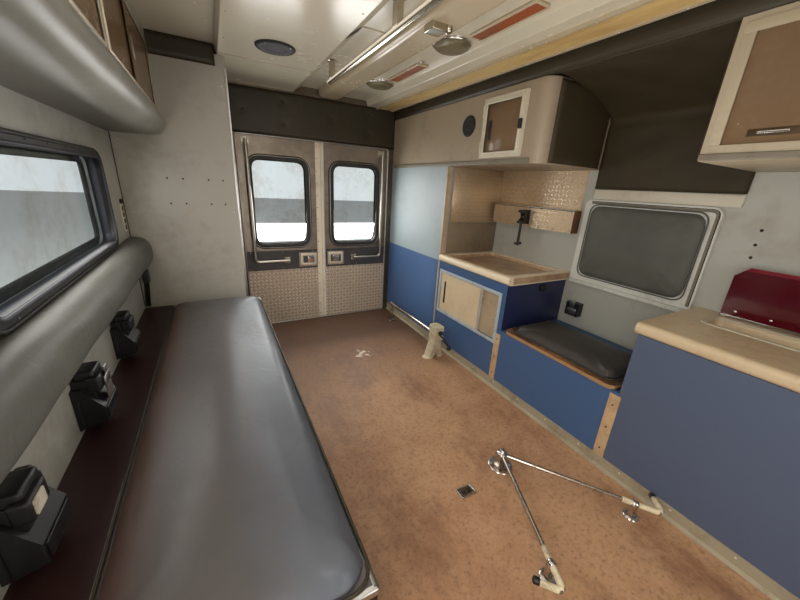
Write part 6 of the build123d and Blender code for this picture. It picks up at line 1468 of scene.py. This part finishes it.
# Front counter: navy base with a tan nosing, a pale-rimmed sunk basin, a dark red folding lid screwed to its
# hinge, and three screw holes in the wall behind.
front_finish, tree, shader = blank("front_top_laminate")
rim = soiled(tree, (206, 186, 154), (158, 128, 96), 0.24, 5.0)
feed(shader, {"Base Color": rim.outputs["Colour"], "Roughness": blend_values(tree, rim.outputs["Mask"], 0.34,
     0.58)})
dress(front_finish, "front_counter_top")
basin_ring = frame_path(("z", DECK + 0.702), (0.8905, 1.0495), (-0.8995, -0.3275), 0.030)
moulding("basin_rim", basin_ring, [(-0.014, -0.0002), (-0.013, 0.0028), (-0.002, 0.0040), (0.004, 0.0020),
         (0.006, -0.010), (0.004, -0.010), (0.001, -0.0005)], (0, 0, 1), white_frame, "white_liner")
red_acrylic, tree, shader = blank("red_acrylic")
# Painted highlight: the top 14 mm of the lid is a lighter red, for the light along its rounded lip.
lip = blend_colours(tree, above(tree, axis_of(tree, "Z"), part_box("red_lid")[1].z - 0.014), (76, 8, 22),
                    (118, 24, 38))
scratch = soiled(tree, lip, (120, 70, 70), 0.14, 11.0, (1.0, 0.25, 1.0))
feed(shader, {"Base Color": scratch.outputs["Colour"], "Roughness": blend_values(tree,
     scratch.outputs["Mask"], 0.10, 0.45), "Coat Weight": 0.5, "Coat Roughness": 0.08})
dress(red_acrylic, "red_lid")
lid_low, lid_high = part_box("red_lid")
bars("red_lid_hinge_strip", [((-0.0016, lid_low.y + 0.003, 0.7040), (0.0004, lid_high.y - 0.003, 0.7160))],
     bright_steel, "chrome_fittings", 0.0006, at=(lid_low.x, 0, DECK))
lathed("red_lid_screws", domed(0.0055, 0.0032),
       [Vector((1.0820, lid_low.y + 0.045 + 0.105 * step, DECK + 0.734)) for step in range(4)], (-1, 0, 0),
       bright_steel, "chrome_fittings", 14, body="basin_lid")
hole_at = [(-0.334, 1.059), (-0.332, 1.001), (-0.333, 0.950)]
# Painted shade: dark discs stand for the shade inside the screw holes.
lathed("wall_screw_holes", [(0.0060, 0.0003), (0.0050, 0.0010), (0.0040, 0.0004), (0.0, 0.0001)],
       [Vector((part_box("street_liner")[1].x - 0.0317, y, DECK + h)) for y, h in hole_at], (-1, 0, 0),
       shade_and_dark_detail, "white_liner", 14)

# Upper front cabinet: beige laminate with a flat beige frame, smoked sliding panes, one with a slim bronze
# pull, and a grey rail below.
beige_frame = coated("beige_frame", (168, 157, 135), (132, 116, 92), cover=0.24, size=6.0, rough=0.42,
                     grains=220, depth=0.06, pebble=0.1)
dress(beige_frame, "upper_front_cabinet")
uf_low, uf_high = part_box("upper_front_cabinet")
UF_U, UF_V = (-1.330, -0.297), (DECK + 1.320, DECK + 1.615)
square_frame("upper_front_frame", uf_low.x, UF_U, UF_V, 0.028, 0.0055, beige_frame, "white_liner")
pane_low, pane_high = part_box("upper_pane")
bronze = coated("dark_bronze", (70, 56, 42), (100, 84, 64), cover=0.25, size=20.0, rough=0.38, metal=0.8,
                grains=500, depth=0.02)
bars("upper_pane_pull", [((-0.0016, -0.462, 1.340), (0.0004, -0.352, 1.360))], bronze, "anodised_trim",
     0.0007, body="upper_slider", at=(pane_low.x, 0, DECK))
bars("upper_pane_pull_line", [((-0.0021, -0.440, 1.347), (-0.0010, -0.374, 1.353))], bright_steel,
     "anodised_trim", 0.0003, body="upper_slider", at=(pane_low.x, 0, DECK))
bars("upper_front_rail", [((-0.010, uf_low.y + 0.002, 0.001), (0.0002, uf_high.y - 0.001, 0.022))],
     rail_grey, "grey_laminate", 0.004, 3, at=(uf_low.x, 0, uf_low.z))

# Cot fittings on the floor: a bent steel bar held by a pale cast post with a black lever and knob, chrome
# antler hooks with cream plastic sleeves on a bolted hub, and a slotted catch plate.
cot_metal, tree, shader = blank("cot_metal")
reach_y = axis_of(tree, "Y")
in_post = calc(tree, "MULTIPLY", above(tree, reach_y, 0.8865), calc(tree, "SUBTRACT", 1.0,
               above(tree, reach_y, 0.9605)))
steel = soiled(tree, (206, 198, 188), (132, 100, 76), 0.34, 20.0)
cast = soiled(tree, (214, 204, 176), (150, 124, 90), 0.36, 16.0)
feed(shader, {"Base Color": blend_colours(tree, in_post, steel.outputs["Colour"], cast.outputs["Colour"]),
     "Metallic": blend_values(tree, in_post, 1.0, 0.15), "Roughness": blend_values(tree, in_post,
     blend_values(tree, steel.outputs["Mask"], 0.16, 0.5), 0.48)})
casting = grained(tree, 300.0, 0.4)
feed(shader, {"Normal": raised(tree, casting, 0.0002, 0.7)})
dress(cot_metal, "cot_fittings")
cast_pale = coated("cast_pale", (214, 204, 176), (150, 124, 90), cover=0.36, size=16.0, rough=0.48,
                   metal=0.15, grains=300, depth=0.2)
cream_sleeve = coated("cream_sleeve", (226, 214, 182), (150, 118, 86), cover=0.32, size=26.0, rough=0.5,
                      grains=400, depth=0.06)
POST = Vector((0.517, 0.926, DECK))
bars("clamp_post_jaw", [((-0.030, -0.046, 0.196), (0.050, 0.030, 0.238)), ((-0.026, -0.044, 0.140),
     (0.020, 0.020, 0.200))], cast_pale, "stainless", 0.009, 4, at=(POST.x, POST.y, POST.z))
lathed("clamp_post_collar", [(0.0, 0.012), (0.014, 0.010), (0.020, 0.004), (0.022, -0.006), (0.020, -0.016)],
       [Vector((0.540, 0.874, DECK + 0.160))], (0, -1, 0), cast_pale, "stainless", 24)
lathed("clamp_post_feet", [(0.0, 0.010), (0.012, 0.009), (0.018, 0.006), (0.030, 0.004), (0.032, 0.0)],
       [Vector((POST.x - 0.050, POST.y, DECK + 0.0002)), Vector((POST.x + 0.050, POST.y, DECK + 0.0002))],
       (0, 0, 1), cast_pale, "stainless", 24)
lever = rounded([POST + Vector((0.000, -0.052, 0.190)), POST + Vector((0.012, -0.086, 0.176)),
                POST + Vector((0.030, -0.128, 0.128))], 0.02, False)
moulding("clamp_lever", lever, round_section(0.0058), (1, 0, 0), reel_black, "black_plastic", closed=False)
lathed("clamp_lever_knobs", [(0.0, 0.020), (0.010, 0.018), (0.015, 0.011), (0.015, 0.001), (0.010, -0.008),
       (0.0, -0.010)], [POST + Vector((0.033, -0.132, 0.118)), POST + Vector((0.004, -0.062, 0.206))],
       (0.3, -0.4, -0.85), reel_black, "black_plastic", 20)
lathed("bar_shoe_bolts", domed(0.006, 0.004), [Vector((0.540 + dx, 1.616, DECK + 0.006))
       for dx in (-0.018, 0.018)], (0, 0, 1), bright_steel, "stainless", 12)
HUB = Vector((0.235, -0.045, DECK + 0.060))
for side, name, end_x in ((-1, "curb", 0.012), (1, "street", 0.571)):
    arm_end = Vector((end_x, -0.522, HUB.z))
    horn = Vector((side * 0.050, 0.062, 0))
    back = (HUB - arm_end).normalized()
    sleeve = [arm_end + back * 0.130, arm_end + back * 0.060]
    first, last = arm_end + back * 0.028, arm_end + horn.normalized() * 0.028
    for step in range(9):
        part = step / 8
        sleeve.append(first * (1 - part) ** 2 + arm_end * 2 * part * (1 - part) + last * part ** 2)
    sleeve.append(arm_end + horn * 0.93)
    moulding(f"hook_{name}_sleeve", sleeve, round_section(0.0100, 14), (0, 0, 1), cream_sleeve, "stainless",
             closed=False)
    lathed(f"hook_{name}_tip", [(0.0108, -0.012), (0.0114, -0.010), (0.0114, 0.004), (0.008, 0.008),
           (0.0, 0.0095)], [arm_end + horn], tuple(horn), reel_black, "stainless", 20)
    foot = HUB + (arm_end - HUB) * 0.85
    lathed(f"hook_{name}_foot", [(0.0, 0.006), (0.017, 0.006), (0.026, 0.004), (0.028, 0.0)],
           [Vector((foot.x, foot.y, DECK + 0.0001))], (0, 0, 1), bright_steel, "stainless", 24)
    lathed(f"hook_{name}_clip", [(0.0105, -0.011), (0.0125, -0.009), (0.0125, 0.009), (0.0105, 0.011)],
           [foot], tuple(back), bright_steel, "stainless", 24)
lathed("hook_hub_plate", [(0.0, 0.006), (0.046, 0.006), (0.052, 0.004), (0.054, 0.0)],
       [Vector((HUB.x, HUB.y, DECK + 0.0001))], (0, 0, 1), cot_metal, "stainless", 32)
lathed("hook_hub_cap", [(0.0, 0.020), (0.008, 0.020), (0.011, 0.016), (0.011, 0.008), (0.021, 0.007),
       (0.024, 0.003), (0.024, -0.004)], [HUB + Vector((0, 0, 0.004))], (0, 0, 1), bright_steel, "stainless",
       24)
lathed("hook_hub_screws", domed(0.0055, 0.0035), [Vector((HUB.x + dx, HUB.y + dy, DECK + 0.006))
       for dx, dy in ((-0.034, 0.022), (0.034, 0.022), (-0.034, -0.022), (0.034, -0.022))], (0, 0, 1),
       bright_steel, "stainless", 12)
catch = Vector((0.008, -0.089, DECK))
moulding("catch_plate_rim", frame_path(("z", DECK + 0.004), (catch.x - 0.032, catch.x + 0.032),
         (catch.y - 0.019, catch.y + 0.019), 0.004, 6), [(-0.002, 0.0), (-0.002, 0.002), (0.003, 0.003),
         (0.005, 0.0)], (0, 0, 1), bright_steel, "stainless")
# Painted shade: dark bars stand for the shade in the catch plate's slots.
bars("catch_plate_slots", [((-0.022, -0.009, 0.0036), (-0.004, 0.009, 0.0046)), ((0.004, -0.009, 0.0036),
     (0.022, 0.009, 0.0046))], shade_and_dark_detail, "stainless", 0.0004, 1, at=(catch.x, catch.y, DECK))
